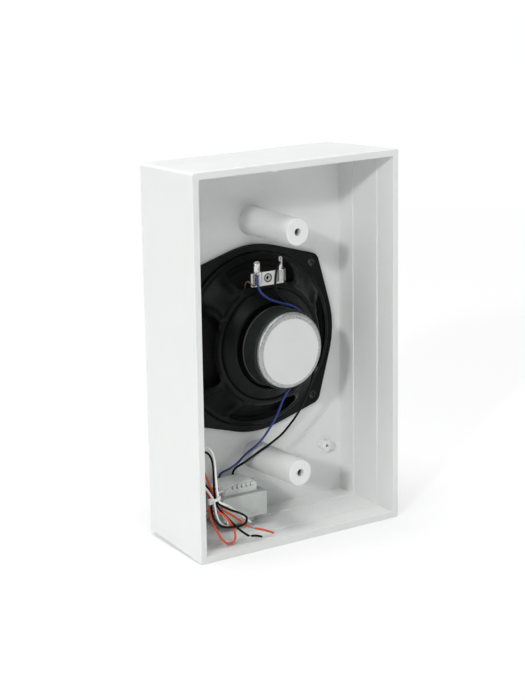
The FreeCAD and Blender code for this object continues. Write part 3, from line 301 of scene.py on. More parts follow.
# Finishes: mottle and grain are strengths, and their scales are in waves per metre
NOISE_LOW = 0.3
NOISE_HIGH = 0.7
FINISHES = {
    "cabinet_plastic": dict(color=(0.738, 0.753, 0.744), roughness=0.48, mottle=0.012, mottle_scale=30,
                            grain=0.06, specular=0.3),
    "grille_paint": dict(color=(0.80, 0.805, 0.805), roughness=0.45, mottle=0.015, mottle_scale=40,
                         grain=0.12, grain_scale=3500),
    "gasket_foam": dict(color=(0.012, 0.012, 0.012), roughness=0.9, mottle=0.2, mottle_scale=400,
                        grain=0.6, grain_scale=3000),
    "basket_paint": dict(color=(0.0022, 0.0031, 0.0028), roughness=0.36, mottle=0.2, mottle_scale=120,
                         grain=0.15, grain_scale=1800, specular=0.14),
    "screw_steel": dict(color=(0.045, 0.047, 0.047), roughness=0.24, mottle=0.2, mottle_scale=300,
                        grain=0.1, metallic=0.8),
    "plate_steel": dict(color=(0.41, 0.42, 0.42), roughness=0.42, mottle=0.25, mottle_scale=700,
                        grain=0.4, grain_scale=1400, metallic=0.75),
    "ferrite": dict(color=(0.015, 0.019, 0.018), roughness=0.5, mottle=0.25, mottle_scale=350,
                    grain=0.35, grain_scale=1600, specular=0.2),
    "label_paper": dict(color=(0.63, 0.65, 0.645), roughness=0.5, mottle=0.025, mottle_scale=60,
                        grain=0.05),
    "cone_paper": dict(color=(0.006, 0.006, 0.006), roughness=0.8, mottle=0.3, mottle_scale=500,
                       grain=0.6, grain_scale=1500, specular=0.25),
    "former_paper": dict(color=(0.35, 0.26, 0.15), roughness=0.6, mottle=0.1, mottle_scale=200, grain=0.2),
    "copper": dict(color=(0.17, 0.12, 0.075), roughness=0.5, mottle=0.2, mottle_scale=900,
                   grain=0.4, grain_scale=4000, metallic=0.3),
    "surround_cloth": dict(color=(0.008, 0.008, 0.008), roughness=0.85, mottle=0.2, mottle_scale=600,
                           grain=0.7, grain_scale=2200, specular=0.25),
    "spider_cloth": dict(color=(0.10, 0.07, 0.03), roughness=0.7, mottle=0.15, mottle_scale=500,
                         grain=0.6, grain_scale=2200),
    "board_paper": dict(color=(0.84, 0.85, 0.84), roughness=0.5, mottle=0.06, mottle_scale=300, grain=0.15),
    "tinned": dict(color=(0.44, 0.44, 0.43), roughness=0.2, mottle=0.2, mottle_scale=700,
                   grain=0.4, grain_scale=1500, metallic=0.95),
    "core_steel": dict(color=(0.38, 0.41, 0.40), roughness=0.5, mottle=0.12, mottle_scale=60,
                       grain=0.5, grain_scale=900, metallic=0.15, stretch=(0.2, 0.2, 3.0)),
    "bobbin_plastic": dict(color=(0.60, 0.63, 0.61), roughness=0.45, mottle=0.04, mottle_scale=150,
                           grain=0.1),
    "winding_tape": dict(color=(0.70, 0.73, 0.71), roughness=0.38, mottle=0.05, mottle_scale=120,
                         grain=0.3, grain_scale=420),
    "bracket_steel": dict(color=(0.475, 0.51, 0.495), roughness=0.42, mottle=0.07, mottle_scale=110,
                          grain=0.15, metallic=0.2),
    "lead_blue": dict(color=(0.013, 0.034, 0.20), roughness=0.4, mottle=0.1, mottle_scale=300, grain=0.1),
    "lead_black": dict(color=(0.0035, 0.0035, 0.004), roughness=0.4, mottle=0.15, mottle_scale=300,
                       grain=0.1, specular=0.15),
    "lead_white": dict(color=(0.82, 0.82, 0.81), roughness=0.4, mottle=0.02, mottle_scale=300, grain=0.1),
    "lead_red": dict(color=(0.66, 0.080, 0.025), roughness=0.4, mottle=0.06, mottle_scale=300, grain=0.1),
    "tie_plastic": dict(color=(0.68, 0.69, 0.66), roughness=0.35, mottle=0.05, mottle_scale=300, grain=0.1),
    "solder": dict(color=(0.66, 0.66, 0.65), roughness=0.16, mottle=0.15, mottle_scale=900,
                   grain=0.3, grain_scale=1500, metallic=0.9),
}


# Materials

def new_material(name):
    material = bpy.data.materials.new(name)
    material.use_nodes = True
    tree = material.node_tree
    return material, tree, tree.nodes["Principled BSDF"]


def noise(tree, scale, detail=4.0, stretch=(1, 1, 1)):
    """Noise in the object's own coordinates; scale is in waves per metre."""
    place = tree.nodes.new("ShaderNodeTexCoord")
    mapping = tree.nodes.new("ShaderNodeMapping")
    mapping.inputs["Scale"].default_value = stretch
    texture = tree.nodes.new("ShaderNodeTexNoise")
    texture.inputs["Scale"].default_value = scale
    texture.inputs["Detail"].default_value = detail
    texture.inputs["Roughness"].default_value = 0.55
    tree.links.new(place.outputs["Object"], mapping.inputs["Vector"])
    tree.links.new(mapping.outputs["Vector"], texture.inputs["Vector"])
    return texture.outputs["Fac"]


def ramp(tree, value, low, high, start=NOISE_LOW, end=NOISE_HIGH):
    """Spread a value between two colours."""
    node = tree.nodes.new("ShaderNodeValToRGB")
    node.color_ramp.elements[0].position = start
    node.color_ramp.elements[1].position = end
    node.color_ramp.elements[0].color = (*low, 1)
    node.color_ramp.elements[1].color = (*high, 1)
    tree.links.new(value, node.inputs["Fac"])
    return node.outputs["Color"]


def spread(tree, value, low, high):
    """Spread a value between two numbers."""
    node = tree.nodes.new("ShaderNodeMapRange")
    node.inputs["From Min"].default_value = NOISE_LOW
    node.inputs["From Max"].default_value = NOISE_HIGH
    node.inputs["To Min"].default_value = low
    node.inputs["To Max"].default_value = high
    tree.links.new(value, node.inputs["Value"])
    return node.outputs["Result"]


def bump(tree, shader, value, strength, distance=0.0001):
    node = tree.nodes.new("ShaderNodeBump")
    node.inputs["Strength"].default_value = strength
    node.inputs["Distance"].default_value = distance
    tree.links.new(value, node.inputs["Height"])
    tree.links.new(node.outputs["Normal"], shader.inputs["Normal"])


def shade(color, factor):
    return tuple(min(1.0, channel * factor) for channel in color)


def finish_material(name, color, roughness, mottle, mottle_scale, grain, grain_scale=2500.0, metallic=0.0,
                    specular=0.5, stretch=(1, 1, 1)):
    """Principled surface with uneven colour and roughness and a fine grain."""
    material, tree, shader = new_material(name)
    patches = noise(tree, mottle_scale, stretch=stretch)
    tree.links.new(ramp(tree, patches, shade(color, 1 - mottle), shade(color, 1 + mottle)),
                   shader.inputs["Base Color"])
    tree.links.new(spread(tree, patches, roughness * 0.9, min(1.0, roughness * 1.1)),
                   shader.inputs["Roughness"])
    shader.inputs["Metallic"].default_value = metallic
    shader.inputs["Specular IOR Level"].default_value = specular
    bump(tree, shader, noise(tree, grain_scale, detail=2.0, stretch=stretch), grain)
    return material


def clear_plastic():
    material, tree, shader = new_material("clear_sleeve")
    shader.inputs["Base Color"].default_value = (0.97, 0.98, 0.98, 1)
    shader.inputs["Transmission Weight"].default_value = 1.0
    shader.inputs["IOR"].default_value = 1.3
    tree.links.new(spread(tree, noise(tree, 400), 0.02, 0.06), shader.inputs["Roughness"])
    bump(tree, shader, noise(tree, 500, detail=2.0), 0.12, 0.0002)
    return material


def plate_edge():
    """Painted steel with a lighter band near its rear face: a bare rim whose lightness is also a painted
    highlight.
    """
    material, tree, shader = new_material("plate_edge")
    place = tree.nodes.new("ShaderNodeTexCoord")
    split = tree.nodes.new("ShaderNodeSeparateXYZ")
    tree.links.new(place.outputs["Object"], split.inputs["Vector"])
    bare_glint_band = tree.nodes.new("ShaderNodeMapRange")
    bare_glint_band.inputs["From Min"].default_value = PLATE_BARE_GLINT_FROM
    bare_glint_band.inputs["From Max"].default_value = PLATE_BARE_GLINT_FROM + PLATE_BARE_GLINT_BLEND
    tree.links.new(split.outputs["Y"], bare_glint_band.inputs["Value"])
    # Lighter colour near the rear face: painted highlight on the bare rim
    tree.links.new(ramp(tree, bare_glint_band.outputs["Result"], (0.003, 0.003, 0.003), (0.055, 0.057, 0.057)),
                   shader.inputs["Base Color"])
    tree.links.new(spread(tree, noise(tree, 500), 0.4, 0.55), shader.inputs["Roughness"])
    shader.inputs["Specular IOR Level"].default_value = 0.1
    bump(tree, shader, noise(tree, 1500, detail=2.0), 0.2)
    return material


def eyelet_metal():
    """Tinned brass, darkened round the outside of its rolled rim as painted shade."""
    low, high = box_of("terminal_eyelet")
    middle = (low + high) / 2
    material, tree, shader = new_material("eyelet_metal")
    place = tree.nodes.new("ShaderNodeTexCoord")
    mapping = tree.nodes.new("ShaderNodeMapping")
    mapping.inputs["Location"].default_value = (-middle.x, 0, -middle.z)
    mapping.inputs["Scale"].default_value = (1, 0, 1)
    reach = tree.nodes.new("ShaderNodeVectorMath")
    reach.operation = "LENGTH"
    share = tree.nodes.new("ShaderNodeMapRange")
    share.inputs["From Max"].default_value = (high.x - low.x) / 2
    tree.links.new(place.outputs["Object"], mapping.inputs["Vector"])
    tree.links.new(mapping.outputs["Vector"], reach.inputs[0])
    tree.links.new(reach.outputs["Value"], share.inputs["Value"])
    # Painted shade: light inside the rolled rim, dark round its outside
    tree.links.new(ramp(tree, share.outputs["Result"], (0.60, 0.60, 0.59), (0.05, 0.05, 0.05), 0.68, 0.80),
                   shader.inputs["Base Color"])
    tree.links.new(spread(tree, noise(tree, 700), 0.3, 0.45), shader.inputs["Roughness"])
    shader.inputs["Metallic"].default_value = 0.3
    bump(tree, shader, noise(tree, 1500, detail=2.0), 0.2)
    return material


def make_materials():
    made = {name: finish_material(name, **finish) for name, finish in FINISHES.items()}
    made["clear_sleeve"] = clear_plastic()
    made["plate_edge"] = plate_edge()
    made["eyelet_metal"] = eyelet_metal()
    return made


def dress_nodes(materials):
    slots = {part["node"]: part["material_slot"] for part in frame["record"]["subparts"]}
    for name, node in frame["nodes"].items():
        node.data.materials.clear()
        node.data.materials.append(materials[slots[name]])


# Pieces

def add_piece(name, points, faces, slot, materials, replaced=None, finish=None):
    """Mesh piece that rides on the cabinet and takes its slot's finish, or another one."""
    mesh = bpy.data.meshes.new(name)
    mesh.from_pydata(points, [], faces)
    mesh.validate()
    mesh.polygons.foreach_set("use_smooth", [True] * len(mesh.polygons))
    mesh.materials.append(materials[finish or slot])
    piece = bpy.data.objects.new(name, mesh)
    bpy.context.scene.collection.objects.link(piece)
    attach(piece, FIXED_BODY)
    if replaced:
        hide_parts(replaced)
    return piece


def soften(piece, width, segments=3):
    """Round a piece's sharp edges."""
    bevel = piece.modifiers.new("edges", "BEVEL")
    bevel.width = width
    bevel.segments = segments
    bevel.limit_method = "ANGLE"
    bevel.harden_normals = True


def round_off(piece):
    """Round a piece all over."""
    rounding = piece.modifiers.new("rounding", "SUBSURF")
    rounding.levels = 1
    rounding.render_levels = 1


def smooth_step(start, end, value):
    share = min(1.0, max(0.0, (value - start) / (end - start)))
    return share * share * (3 - 2 * share)


def box_of(name):
    """Least and greatest corner of a solid's mesh."""
    corners = [vertex.co for vertex in frame["nodes"][name].data.vertices]
    low = Vector([min(corner[axis] for corner in corners) for axis in range(3)])
    high = Vector([max(corner[axis] for corner in corners) for axis in range(3)])
    return low, high


def turns(sides):
    """Angles that go once round in equal steps."""
    return [2 * math.pi * side / sides for side in range(sides)]


def skin_into(points, faces, rings, looped=False):
    """Add a closed surface over rings of points, capped at its ends or looped back to the first ring."""
    base, total, count = len(points), len(rings), len(rings[0])
    for ring in rings:
        points += ring
    for index in range(total if looped else total - 1):
        start = base + index * count
        above = base + (index + 1) % total * count
        for side in range(count):
            following = (side + 1) % count
            faces.append((start + side, start + following, above + following, above + side))
    if not looped:
        last = base + (total - 1) * count
        faces.append(tuple(base + side for side in reversed(range(count))))
        faces.append(tuple(last + side for side in range(count)))


def extrude_into(points, faces, outline, start_y, end_y):
    """Add a closed prism along Y with an (x, z) outline."""
    skin_into(points, faces, [[(x, y, z) for x, z in outline] for y in (end_y, start_y)])


def turn_piece(name, line, middle, sides, slot, finish, materials, replaced):
    """Closed ring: a section of (radius, y) turned about an axis along Y."""
    rings = []
    for turn in turns(sides):
        rings.append([(middle.x + radius * math.cos(turn), y, middle.z + radius * math.sin(turn))
                      for radius, y in line])
    points, faces = [], []
    skin_into(points, faces, rings, looped=True)
    add_piece(name, points, faces, slot, materials, replaced, finish)


def make_lump(name, sections, uneven, seed, slot, finish, materials):
    """Uneven lump over (place, half width, half depth) sections up its height."""
    rings = []
    for (x, y, z), half_x, half_y in sections:
        ring = []
        for turn in turns(LUMP_SIDES):
            across, deep = half_x * math.cos(turn), half_y * math.sin(turn)
            spot = Vector((x + across, y + deep, z)) * LUMP_WAVES + Vector((seed, seed, seed))
            push = 1 + uneven * field.noise(spot)
            ring.append((x + across * push, y + deep * push, z))
        rings.append(ring)
    points, faces = [], []
    skin_into(points, faces, rings)
    round_off(add_piece(name, points, faces, slot, materials, None, finish))


# Basket

def flange_edge(angle):
    """Radius of the flange's outline: a circle with four ears joined to it by straight sides."""
    spread_angle = math.degrees(math.acos((FLANGE_RADIUS - EAR_RADIUS) / EAR_PITCH))
    touch = math.radians(spread_angle)
    ear_touch = math.degrees(math.atan2(EAR_RADIUS * math.sin(touch),
                                        EAR_PITCH + EAR_RADIUS * math.cos(touch)))
    ears = (EAR_ANGLE, 180 - EAR_ANGLE, 180 + EAR_ANGLE, 360 - EAR_ANGLE)
    off = min(abs((angle - ear + 180) % 360 - 180) for ear in ears)
    if off < ear_touch:
        side = EAR_PITCH * math.sin(math.radians(off))
        return EAR_PITCH * math.cos(math.radians(off)) + math.sqrt(EAR_RADIUS ** 2 - side ** 2)
    if off < spread_angle:
        return FLANGE_RADIUS / math.cos(math.radians(spread_angle - off))
    return FLANGE_RADIUS


def spoke_half_angle(radius):
    """Half of a spoke's angle, wider where the windows' corners are rounded."""
    flare = 0.0
    for edge in (radius - WINDOW_INNER, WINDOW_OUTER - radius):
        edge = max(0.0, edge)
        if edge < WINDOW_CORNER:
            flare += WINDOW_CORNER - math.sqrt(WINDOW_CORNER ** 2 - (WINDOW_CORNER - edge) ** 2)
    return SPOKE_HALF_ANGLE + math.degrees(flare / radius)


def basket_columns(radius):
    """Angles round the basket, with a flag for those inside a window and the share across a spoke."""
    radius = min(WINDOW_OUTER, max(WINDOW_INNER, radius))
    half = spoke_half_angle(radius)
    across = [-share for share in reversed(SPOKE_COLUMNS[1:])] + list(SPOKE_COLUMNS)
    gap = 360 / SPOKES - 2 * half
    columns = []
    for spoke in range(SPOKES):
        middle = FIRST_SPOKE + 360 / SPOKES * spoke
        columns += [(middle + share * half, False, share) for share in across]
        columns += [(middle + half + gap * (index + 1) / (WINDOW_COLUMNS + 1), True, 1.0)
                    for index in range(WINDOW_COLUMNS)]
    return columns


def spoke_rows():
    """Radii across the windows, closer together in their rounded corners."""
    corner = [WINDOW_CORNER * (1 - math.cos(math.radians(90 / CORNER_STEPS * step)))
              for step in range(CORNER_STEPS + 1)]
    outer = [WINDOW_OUTER - inset for inset in corner]
    inner = [WINDOW_INNER + inset for inset in reversed(corner)]
    span = outer[-1] - inner[0]
    between = [outer[-1] - span * (step + 1) / BETWEEN_STEPS for step in range(BETWEEN_STEPS - 1)]
    return outer + between + inner


def basket_rows():
    """Rows of the pressing as (zone, radius or share, distance behind the flange)."""
    rows = [("flange", share, 0.0) for share in FLANGE_SHARES]
    rows += [("step", radius, back) for radius, back in STEP_LINE]
    rows += [("spoke", radius, SPOKE_START[1] + (SPOKE_START[0] - radius) * SPOKE_SLOPE)
             for radius in spoke_rows()]
    rows += [("cup", radius, back) for radius, back in CUP_LINE]
    return rows


def lip_height(zone, radius, share, in_window):
    """Height of the raised edge along a spoke's side, fading out on the cup's rim."""
    if in_window or zone not in ("spoke", "cup"):
        return 0.0
    across = smooth_step(*LIP_ACROSS, abs(share))
    if zone == "cup":
        return SPOKE_LIP * LIP_END_SHARE * smooth_step(LIP_END_RADIUS, WINDOW_INNER, radius) * across
    along = (WINDOW_OUTER - radius) / (WINDOW_OUTER - WINDOW_INNER)
    fall = 1 - (1 - LIP_END_SHARE) * smooth_step(LIP_FALL_START, 1.0, along)
    hollow = SPOKE_HOLLOW * math.sin(math.pi * along) * (1 - smooth_step(0.0, HOLLOW_REACH, abs(share)))
    return SPOKE_LIP * smooth_step(0.0, LIP_RISE_END, along) * across * fall - hollow


def basket_points(rows):
    """Points of the pressing, row by row from the flange's edge inwards."""
    points = []
    tilt = math.hypot(1, SPOKE_SLOPE)
    for zone, reach, back in rows:
        radius = WINDOW_OUTER if zone in ("flange", "step") else reach
        for angle, in_window, share in basket_columns(radius):
            distance = reach
            if zone == "flange":
                edge = flange_edge(angle)
                distance = edge + (FLANGE_INNER - edge) * reach
            lip = lip_height(zone, reach, share, in_window)
            distance += lip * SPOKE_SLOPE / tilt
            turn = math.radians(angle)
            points.append((distance * math.cos(turn), FLANGE_REAR + back + lip / tilt,
                           DRIVER_HEIGHT + distance * math.sin(turn)))
    return points


def basket_faces(rows):
    """Faces between the pressing's rows, left out in the windows."""
    windows = [in_window for _, in_window, _ in basket_columns(WINDOW_OUTER)]
    count = len(windows)
    faces = []
    for row in range(len(rows) - 1):
        between_spokes = rows[row][0] == "spoke" and rows[row + 1][0] == "spoke"
        for column in range(count):
            following = (column + 1) % count
            if between_spokes and (windows[column] or windows[following]):
                continue
            faces.append((row * count + column, row * count + following,
                          (row + 1) * count + following, (row + 1) * count + column))
    return faces


def tab_into(points, faces):
    """Add the tab behind the terminal board."""
    start, count = len(points), len(TAB_SHARES)
    for height, rear in TAB_LINE:
        points += [(TAB_MIDDLE + share * TAB_HALF_WIDTH, rear, height) for share in TAB_SHARES]
    for row in range(len(TAB_LINE) - 1):
        for column in range(count - 1):
            corner = start + row * count + column
            faces.append((corner, corner + count, corner + count + 1, corner + 1))


def make_basket(materials):
    rows = basket_rows()
    points, faces = basket_points(rows), basket_faces(rows)
    tab_into(points, faces)
    basket = add_piece("driver_basket_pressing", points, faces, "basket_paint", materials, "driver_basket")
    sheet = basket.modifiers.new("sheet", "SOLIDIFY")
    sheet.thickness = BASKET_SHEET
    sheet.offset = -1
    round_off(basket)


# Magnet

def make_magnet_plate(materials):
    """Front plate of the magnet, with a step to its wider rear edge."""
    low, high = box_of("magnet_top_plate")
    radius = (high.x - low.x) / 2
    line = [(PLATE_BORE, low.y), (radius - PLATE_CHAMFER, low.y), (radius, low.y + PLATE_CHAMFER),
            (radius, high.y - PLATE_STEP)]
    line += [(PLATE_EDGE_RADIUS - inset, high.y - before) for inset, before in PLATE_EDGE_LINE]
    line.append((PLATE_BORE, high.y))
    turn_piece("magnet_top_plate_turned", line, (low + high) / 2, PLATE_SIDES, "plate_steel", "plate_edge",
               materials, "magnet_top_plate")


def make_label(materials):
    """Blank paper label, stuck a little low on the back plate."""
    low, high = box_of("magnet_label")
    middle = (low + high) / 2
    outline = [(middle.x + LABEL_SHIFT[0] + LABEL_RADIUS * math.cos(turn),
                middle.z + LABEL_SHIFT[1] + LABEL_RADIUS * math.sin(turn)) for turn in turns(LABEL_SIDES)]
    points, faces = [], []
    extrude_into(points, faces, outline, low.y, high.y)
    label = add_piece("magnet_label_blank", points, faces, "label_paper", materials, "magnet_label")
    soften(label, LABEL_EDGE, 2)


# Terminal board

def make_eyelet(materials):
    """Rolled eyelet through the board, with a flared rim and an open hole."""
    low, high = box_of("terminal_eyelet")
    outer = (high.x - low.x) / 2
    line = [(outer * share, high.y - before) for share, before in EYELET_RIM]
    line += [(outer * EYELET_BORE, low.y), (outer * EYELET_BARREL, low.y),
             (outer * EYELET_BARREL, high.y - EYELET_RIM_DEPTH)]
    turn_piece("terminal_eyelet_rolled", line, (low + high) / 2, EYELET_SIDES, "tinned", "eyelet_metal",
               materials, "terminal_eyelet")


def make_solder(name, tag, sections, seed, materials):
    """Solder bead on a tag."""
    low, high = box_of(tag)
    x, y = (low.x + high.x) / 2, high.y - SOLDER_INSET
    placed = [((x + shift, y, high.z - below), half_x, half_y) for shift, below, half_x, half_y in sections]
    make_lump(name, placed, SOLDER_UNEVEN, seed, "tinned", "solder", materials)


def make_nub(materials):
    """Small moulded nub that hangs from the top wall's inner face."""
    x, y, z = NUB_PLACE
    placed = [((x, y, z + height), half_x, half_y) for height, half_x, half_y in NUB_SECTIONS]
    make_lump("top_wall_nub", placed, NUB_UNEVEN, NUB_SEED, "cabinet_plastic", None, materials)


# Transformer

def cut_corners(line):
    """Smoother line of (x, z) pairs: its corners are cut a few times and its ends stay."""
    near, far = 1 - DOME_CUT, DOME_CUT
    for _ in range(DOME_CUTS):
        cut = [line[0]]
        for (x, z), (next_x, next_z) in zip(line, line[1:]):
            cut += [(near * x + far * next_x, near * z + far * next_z),
                    (far * x + near * next_x, far * z + near * next_z)]
        line = cut + [line[-1]]
    return line


def bobbin_outline(inset, rise):
    """Outline across the bobbin as (x, z) pairs: a stem in the core and a wider dome above it."""
    left = BOBBIN_MIDDLE + BOBBIN_HALF_WIDTH - inset
    right = BOBBIN_MIDDLE - BOBBIN_HALF_WIDTH + inset
    low = BOBBIN_LOW + inset
    dome = [(x, DOME_LOW + (z - DOME_LOW) * rise) for x, z in cut_corners(DOME_LINE)]
    return [(left, low), (left, DOME_LOW), *dome, (right, DOME_LOW), (right, low)]


def comb_outline():
    """The dome with a slot open at its top for each pin, as (x, z) pairs."""
    line = cut_corners(DOME_LINE)
    slots = [BOBBIN_MIDDLE + step * PIN_PITCH for step in PIN_STEPS]
    outline = [line[0]]
    for before, after in zip(line, line[1:]):
        for slot in slots:
            if after[0] < slot + SLOT_HALF_WIDTH <= before[0]:
                outline += [(slot + SLOT_HALF_WIDTH, before[1]), (slot + SLOT_HALF_WIDTH, SLOT_LOW)]
            if after[0] < slot - SLOT_HALF_WIDTH <= before[0]:
                outline += [(slot - SLOT_HALF_WIDTH, SLOT_LOW), (slot - SLOT_HALF_WIDTH, after[1])]
        if all(abs(after[0] - slot) > SLOT_HALF_WIDTH for slot in slots):
            outline.append(after)
    return outline


def make_bobbin(materials):
    points, faces = [], []
    extrude_into(points, faces, bobbin_outline(0, 1), *REAR_FLANGE)
    extrude_into(points, faces, bobbin_outline(0, FRONT_RISE), *FRONT_FLANGE)
    extrude_into(points, faces, comb_outline(), REAR_FLANGE[1], COMB_REAR)
    bobbin = add_piece("transformer_bobbin_moulding", points, faces, "bobbin_plastic", materials,
                       "transformer_bobbin")
    soften(bobbin, BOBBIN_EDGE)


def make_coil(materials):
    """Taped coil, slightly crowned, with the tape's turns stepping along it."""
    start, end = FRONT_FLANGE[1], REAR_FLANGE[0]
    rings = []
    for ring in reversed(range(COIL_RINGS)):
        along = ring / (COIL_RINGS - 1)
        tape = TAPE_STEP if ring % TAPE_RINGS < TAPE_RINGS / 2 else 0.0
        rise = COIL_RISE - COIL_CROWN * (2 * along - 1) ** 4 + tape
        rings.append([(x, start + (end - start) * along, z) for x, z in bobbin_outline(COIL_INSET, rise)])
    points, faces = [], []
    skin_into(points, faces, rings)
    add_piece("transformer_winding_taped", points, faces, "winding_tape", materials, "transformer_winding")


# Leads

def make_lead(name, points, slot, materials):
    curve = bpy.data.curves.new(name, "CURVE")
    curve.dimensions = "3D"
    spline = curve.splines.new("NURBS")
    spline.points.add(len(points) - 1)
    for control, point in zip(spline.points, points):
        control.co = (*point, 1)
    spline.order_u = 3
    spline.use_endpoint_u = True
    curve.resolution_u = CURVE_STEPS
    curve.bevel_depth = LEAD_DIAMETER / 2
    curve.bevel_resolution = CURVE_SIDES
    curve.use_fill_caps = True
    curve.materials.append(materials[slot])
    lead = bpy.data.objects.new(name + "_cord", curve)
    bpy.context.scene.collection.objects.link(lead)
    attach(lead, FIXED_BODY)
    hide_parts(name)


def tube_into(points, faces, line, radius, sides):
    """Add a closed round tube along a line of points."""
    rings = []
    across = None
    for index, place in enumerate(line):
        ahead = (line[min(index + 1, len(line) - 1)] - line[max(index - 1, 0)]).normalized()
        if across is None:
            across = ahead.orthogonal()
        across = (across - ahead * across.dot(ahead)).normalized()
        upward = ahead.cross(across)
        rings.append([place + (across * math.cos(turn) + upward * math.sin(turn)) * radius
                      for turn in turns(sides)])
    skin_into(points, faces, rings)


def make_strand(name, start, tip, materials):
    """Bare end of a lead: thin wires that twist loosely round each other."""
    start, tip = Vector(start), Vector(tip)
    run = (tip - start).normalized()
    side = run.orthogonal().normalized()
    upward = run.cross(side)
    points, faces = [], []
    for wire in range(STRAND_WIRES):
        line = []
        for step in range(STRAND_STEPS + 1):
            share = step / STRAND_STEPS
            turn = 2 * math.pi * (wire / STRAND_WIRES + STRAND_TURNS * share)
            wave = math.sin(STRAND_WAVE[0] * wire + STRAND_WAVE[1] * share)
            reach = STRAND_REACH * (1 + STRAND_UNEVEN * wave)
            line.append(start + (tip - start) * share
                        + (side * math.cos(turn) + upward * math.sin(turn)) * reach)
        tube_into(points, faces, line, STRAND_WIRE / 2, STRAND_SIDES)
    return add_piece(name + "_twisted", points, faces, "tinned", materials, name)


def make_slug(name, start, tip, slot, materials):
    """Short piece of insulation on a bare end, slightly bent."""
    start, tip = Vector(start), Vector(tip)
    line = []
    for step in range(SLUG_STEPS + 1):
        share = step / SLUG_STEPS
        line.append(start + (tip - start) * share + Vector((0, 0, SLUG_BEND * 4 * share * (1 - share))))
    points, faces = [], []
    tube_into(points, faces, line, LEAD_DIAMETER / 2, SLUG_SIDES)
    slug = add_piece(name + "_cut", points, faces, slot, materials, name)
    soften(slug, SLUG_EDGE, 2)
    return slug


def squared(value):
    """A cosine or sine, pushed out so that a circle comes nearer to a square."""
    return math.copysign(abs(value) ** TIE_SQUARENESS, value)


def head_into(points, faces):
    """Add the tie's head: a block with a shallow window in its rear face."""
    half_x, half_z = TIE_HEAD[0] / 2, TIE_HEAD[2] / 2
    rear = TIE_HEAD[1]
    frames = [(1.0, 0.0), (1.0, rear), (TIE_WINDOW[0], rear), (TIE_WINDOW[1], rear - TIE_WINDOW_DEPTH)]
    x, y, z = TIE_HEAD_PLACE
    corners = ((1, 1), (-1, 1), (-1, -1), (1, -1))
    skin_into(points, faces, [[(x + x_sign * half_x * share, y + depth, z + z_sign * half_z * share)
                               for x_sign, z_sign in corners] for share, depth in frames])


def make_tie(materials):
    """Cable tie: a thin band drawn round the bundle, and its square head."""
    rings = []
    for turn in turns(TIE_SIDES):
        x, y = squared(math.cos(turn)), squared(math.sin(turn))
        rings.append([(TIE_MIDDLE[0] + x * (TIE_HALF_X + TIE_BAND * out),
                       TIE_MIDDLE[1] + y * (TIE_HALF_Y + TIE_BAND * out),
                       TIE_MIDDLE[2] + rise * TIE_WIDTH) for out, rise in TIE_SECTION])
    points, faces = [], []
    skin_into(points, faces, rings, looped=True)
    head_into(points, faces)
    points = [(x, y, z + (TIE_MIDDLE[0] - x) * TIE_TILT) for x, y, z in points]
    tie = add_piece("cable_tie_drawn", points, faces, "tie_plastic", materials, "cable_tie")
    soften(tie, TIE_EDGE)
    return tie


def make_leads(materials):
    strand_white = make_strand("bare_strand_white", SUPPLY_WHITE[-1], WHITE_TIP, materials)
    strand_black = make_strand("bare_strand_black", SUPPLY_BLACK[-1], BLACK_TIP[1], materials)
    strand_red = make_strand("bare_strand_red", SUPPLY_RED[-1], RED_TIP[1], materials)
    slug_black = make_slug("insulation_slug_black", *BLACK_TIP, "lead_black", materials)
    slug_red = make_slug("insulation_slug_red", *RED_TIP, "lead_red", materials)
    tie = make_tie(materials)
    make_lead("driver_lead_blue", DRIVER_BLUE, "lead_blue", materials)
    make_lead("driver_lead_black", DRIVER_BLACK, "lead_black", materials)
    make_lead("supply_lead_white", SUPPLY_WHITE, "lead_white", materials)
    make_lead("supply_lead_black", SUPPLY_BLACK, "lead_black", materials)
    make_lead("supply_lead_red", SUPPLY_RED, "lead_red", materials)


# Stage, light and camera

def make_floor():
    """Pale floor that keeps a soft shadow near the speaker and fades to white farther off."""
    bpy.ops.mesh.primitive_plane_add(size=FLOOR_SIZE, location=(0, 0, 0))
    floor = bpy.context.object
    floor.name = "floor"
    material, tree, shader = new_material("floor_white")
    shader.inputs["Base Color"].default_value = FLOOR_COLOR
    shader.inputs["Roughness"].default_value = 0.9
    glow = tree.nodes.new("ShaderNodeEmission")
    glow.inputs["Strength"].default_value = 1.0
    path = tree.nodes.new("ShaderNodeLightPath")
    place = tree.nodes.new("ShaderNodeTexCoord")
    reach = tree.nodes.new("ShaderNodeVectorMath")
    reach.operation = "LENGTH"
    fade = tree.nodes.new("ShaderNodeMapRange")
    fade.inputs["From Min"].default_value = FLOOR_NEAR
    fade.inputs["From Max"].default_value = FLOOR_FAR
    fade.inputs["To Min"].default_value = FLOOR_WHITE
    share = tree.nodes.new("ShaderNodeMath")
    share.operation = "MULTIPLY"
    mix = tree.nodes.new("ShaderNodeMixShader")
    tree.links.new(place.outputs["Object"], reach.inputs[0])
    tree.links.new(reach.outputs["Value"], fade.inputs["Value"])
    tree.links.new(path.outputs["Is Camera Ray"], share.inputs[0])
    tree.links.new(fade.outputs["Result"], share.inputs[1])
    tree.links.new(share.outputs["Value"], mix.inputs["Fac"])
    tree.links.new(shader.outputs["BSDF"], mix.inputs[1])
    tree.links.new(glow.outputs["Emission"], mix.inputs[2])
    tree.links.new(mix.outputs["Shader"], tree.nodes["Material Output"].inputs["Surface"])
    floor.data.materials.append(material)


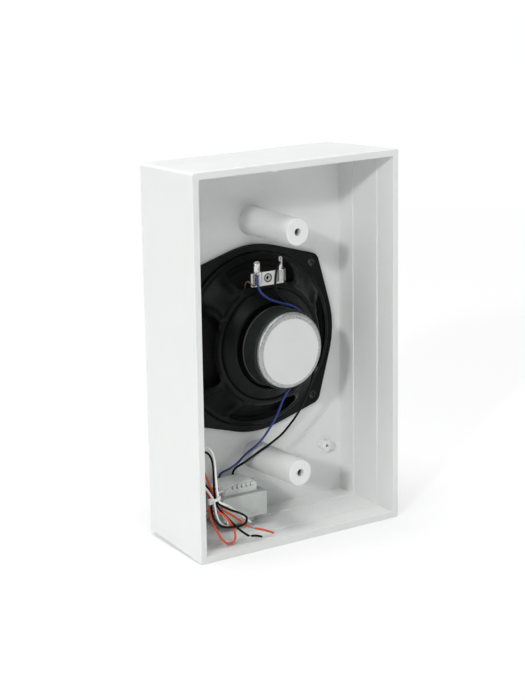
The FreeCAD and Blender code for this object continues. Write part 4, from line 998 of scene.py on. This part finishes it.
def make_world():
    """White to the camera, dimmer as a source of light."""
    world = bpy.data.worlds.new("studio")
    world.use_nodes = True
    bpy.context.scene.world = world
    tree = world.node_tree
    ambient = tree.nodes["Background"]
    ambient.inputs["Color"].default_value = (1, 1, 1, 1)
    ambient.inputs["Strength"].default_value = AMBIENT
    white = tree.nodes.new("ShaderNodeBackground")
    white.inputs["Color"].default_value = (1, 1, 1, 1)
    white.inputs["Strength"].default_value = 1.0
    path = tree.nodes.new("ShaderNodeLightPath")
    mix = tree.nodes.new("ShaderNodeMixShader")
    tree.links.new(path.outputs["Is Camera Ray"], mix.inputs["Fac"])
    tree.links.new(ambient.outputs["Background"], mix.inputs[1])
    tree.links.new(white.outputs["Background"], mix.inputs[2])
    tree.links.new(mix.outputs["Shader"], tree.nodes["World Output"].inputs["Surface"])


def make_lamp(name, place, target, size, power):
    lamp = bpy.data.lights.new(name, "AREA")
    lamp.shape = "DISK"
    lamp.size = size
    lamp.energy = power
    holder = bpy.data.objects.new(name, lamp)
    holder.location = place
    holder.rotation_euler = (Vector(target) - Vector(place)).to_track_quat("-Z", "Y").to_euler()
    bpy.context.scene.collection.objects.link(holder)


def make_sun():
    """Key light, which shines into the open back."""
    sun = bpy.data.lights.new("key", "SUN")
    sun.energy = KEY_STRENGTH
    sun.angle = math.radians(KEY_ANGLE)
    holder = bpy.data.objects.new("key", sun)
    holder.rotation_euler = (-Vector(KEY_DIRECTION)).to_track_quat("-Z", "Y").to_euler()
    bpy.context.scene.collection.objects.link(holder)


def make_camera():
    camera = bpy.data.cameras.new("camera")
    camera.lens = CAMERA_LENS
    camera.sensor_width = CAMERA_SENSOR
    holder = bpy.data.objects.new("camera", camera)
    right = CAMERA_FORWARD.cross(CAMERA_UP).normalized()
    up = right.cross(CAMERA_FORWARD).normalized()
    back = -CAMERA_FORWARD.normalized()
    turn = Matrix((right, up, back)).transposed().to_4x4()
    holder.matrix_world = Matrix.Translation(CAMERA_PLACE) @ turn
    bpy.context.scene.collection.objects.link(holder)
    bpy.context.scene.camera = holder


materials = make_materials()
dress_nodes(materials)
make_camera()
make_leads(materials)
make_basket(materials)
make_magnet_plate(materials)
make_label(materials)
make_eyelet(materials)
make_solder("solder_bead_left", "solder_tag_left", SOLDER_LEFT, SOLDER_SEEDS[0], materials)
make_solder("solder_bead_right", "solder_tag_right", SOLDER_RIGHT, SOLDER_SEEDS[1], materials)
make_nub(materials)
make_bobbin(materials)
make_coil(materials)
make_floor()
make_world()
make_sun()
for lamp_name, lamp in LAMPS.items():
    make_lamp(lamp_name, **lamp)
bpy.context.scene.view_settings.view_transform = "Standard"
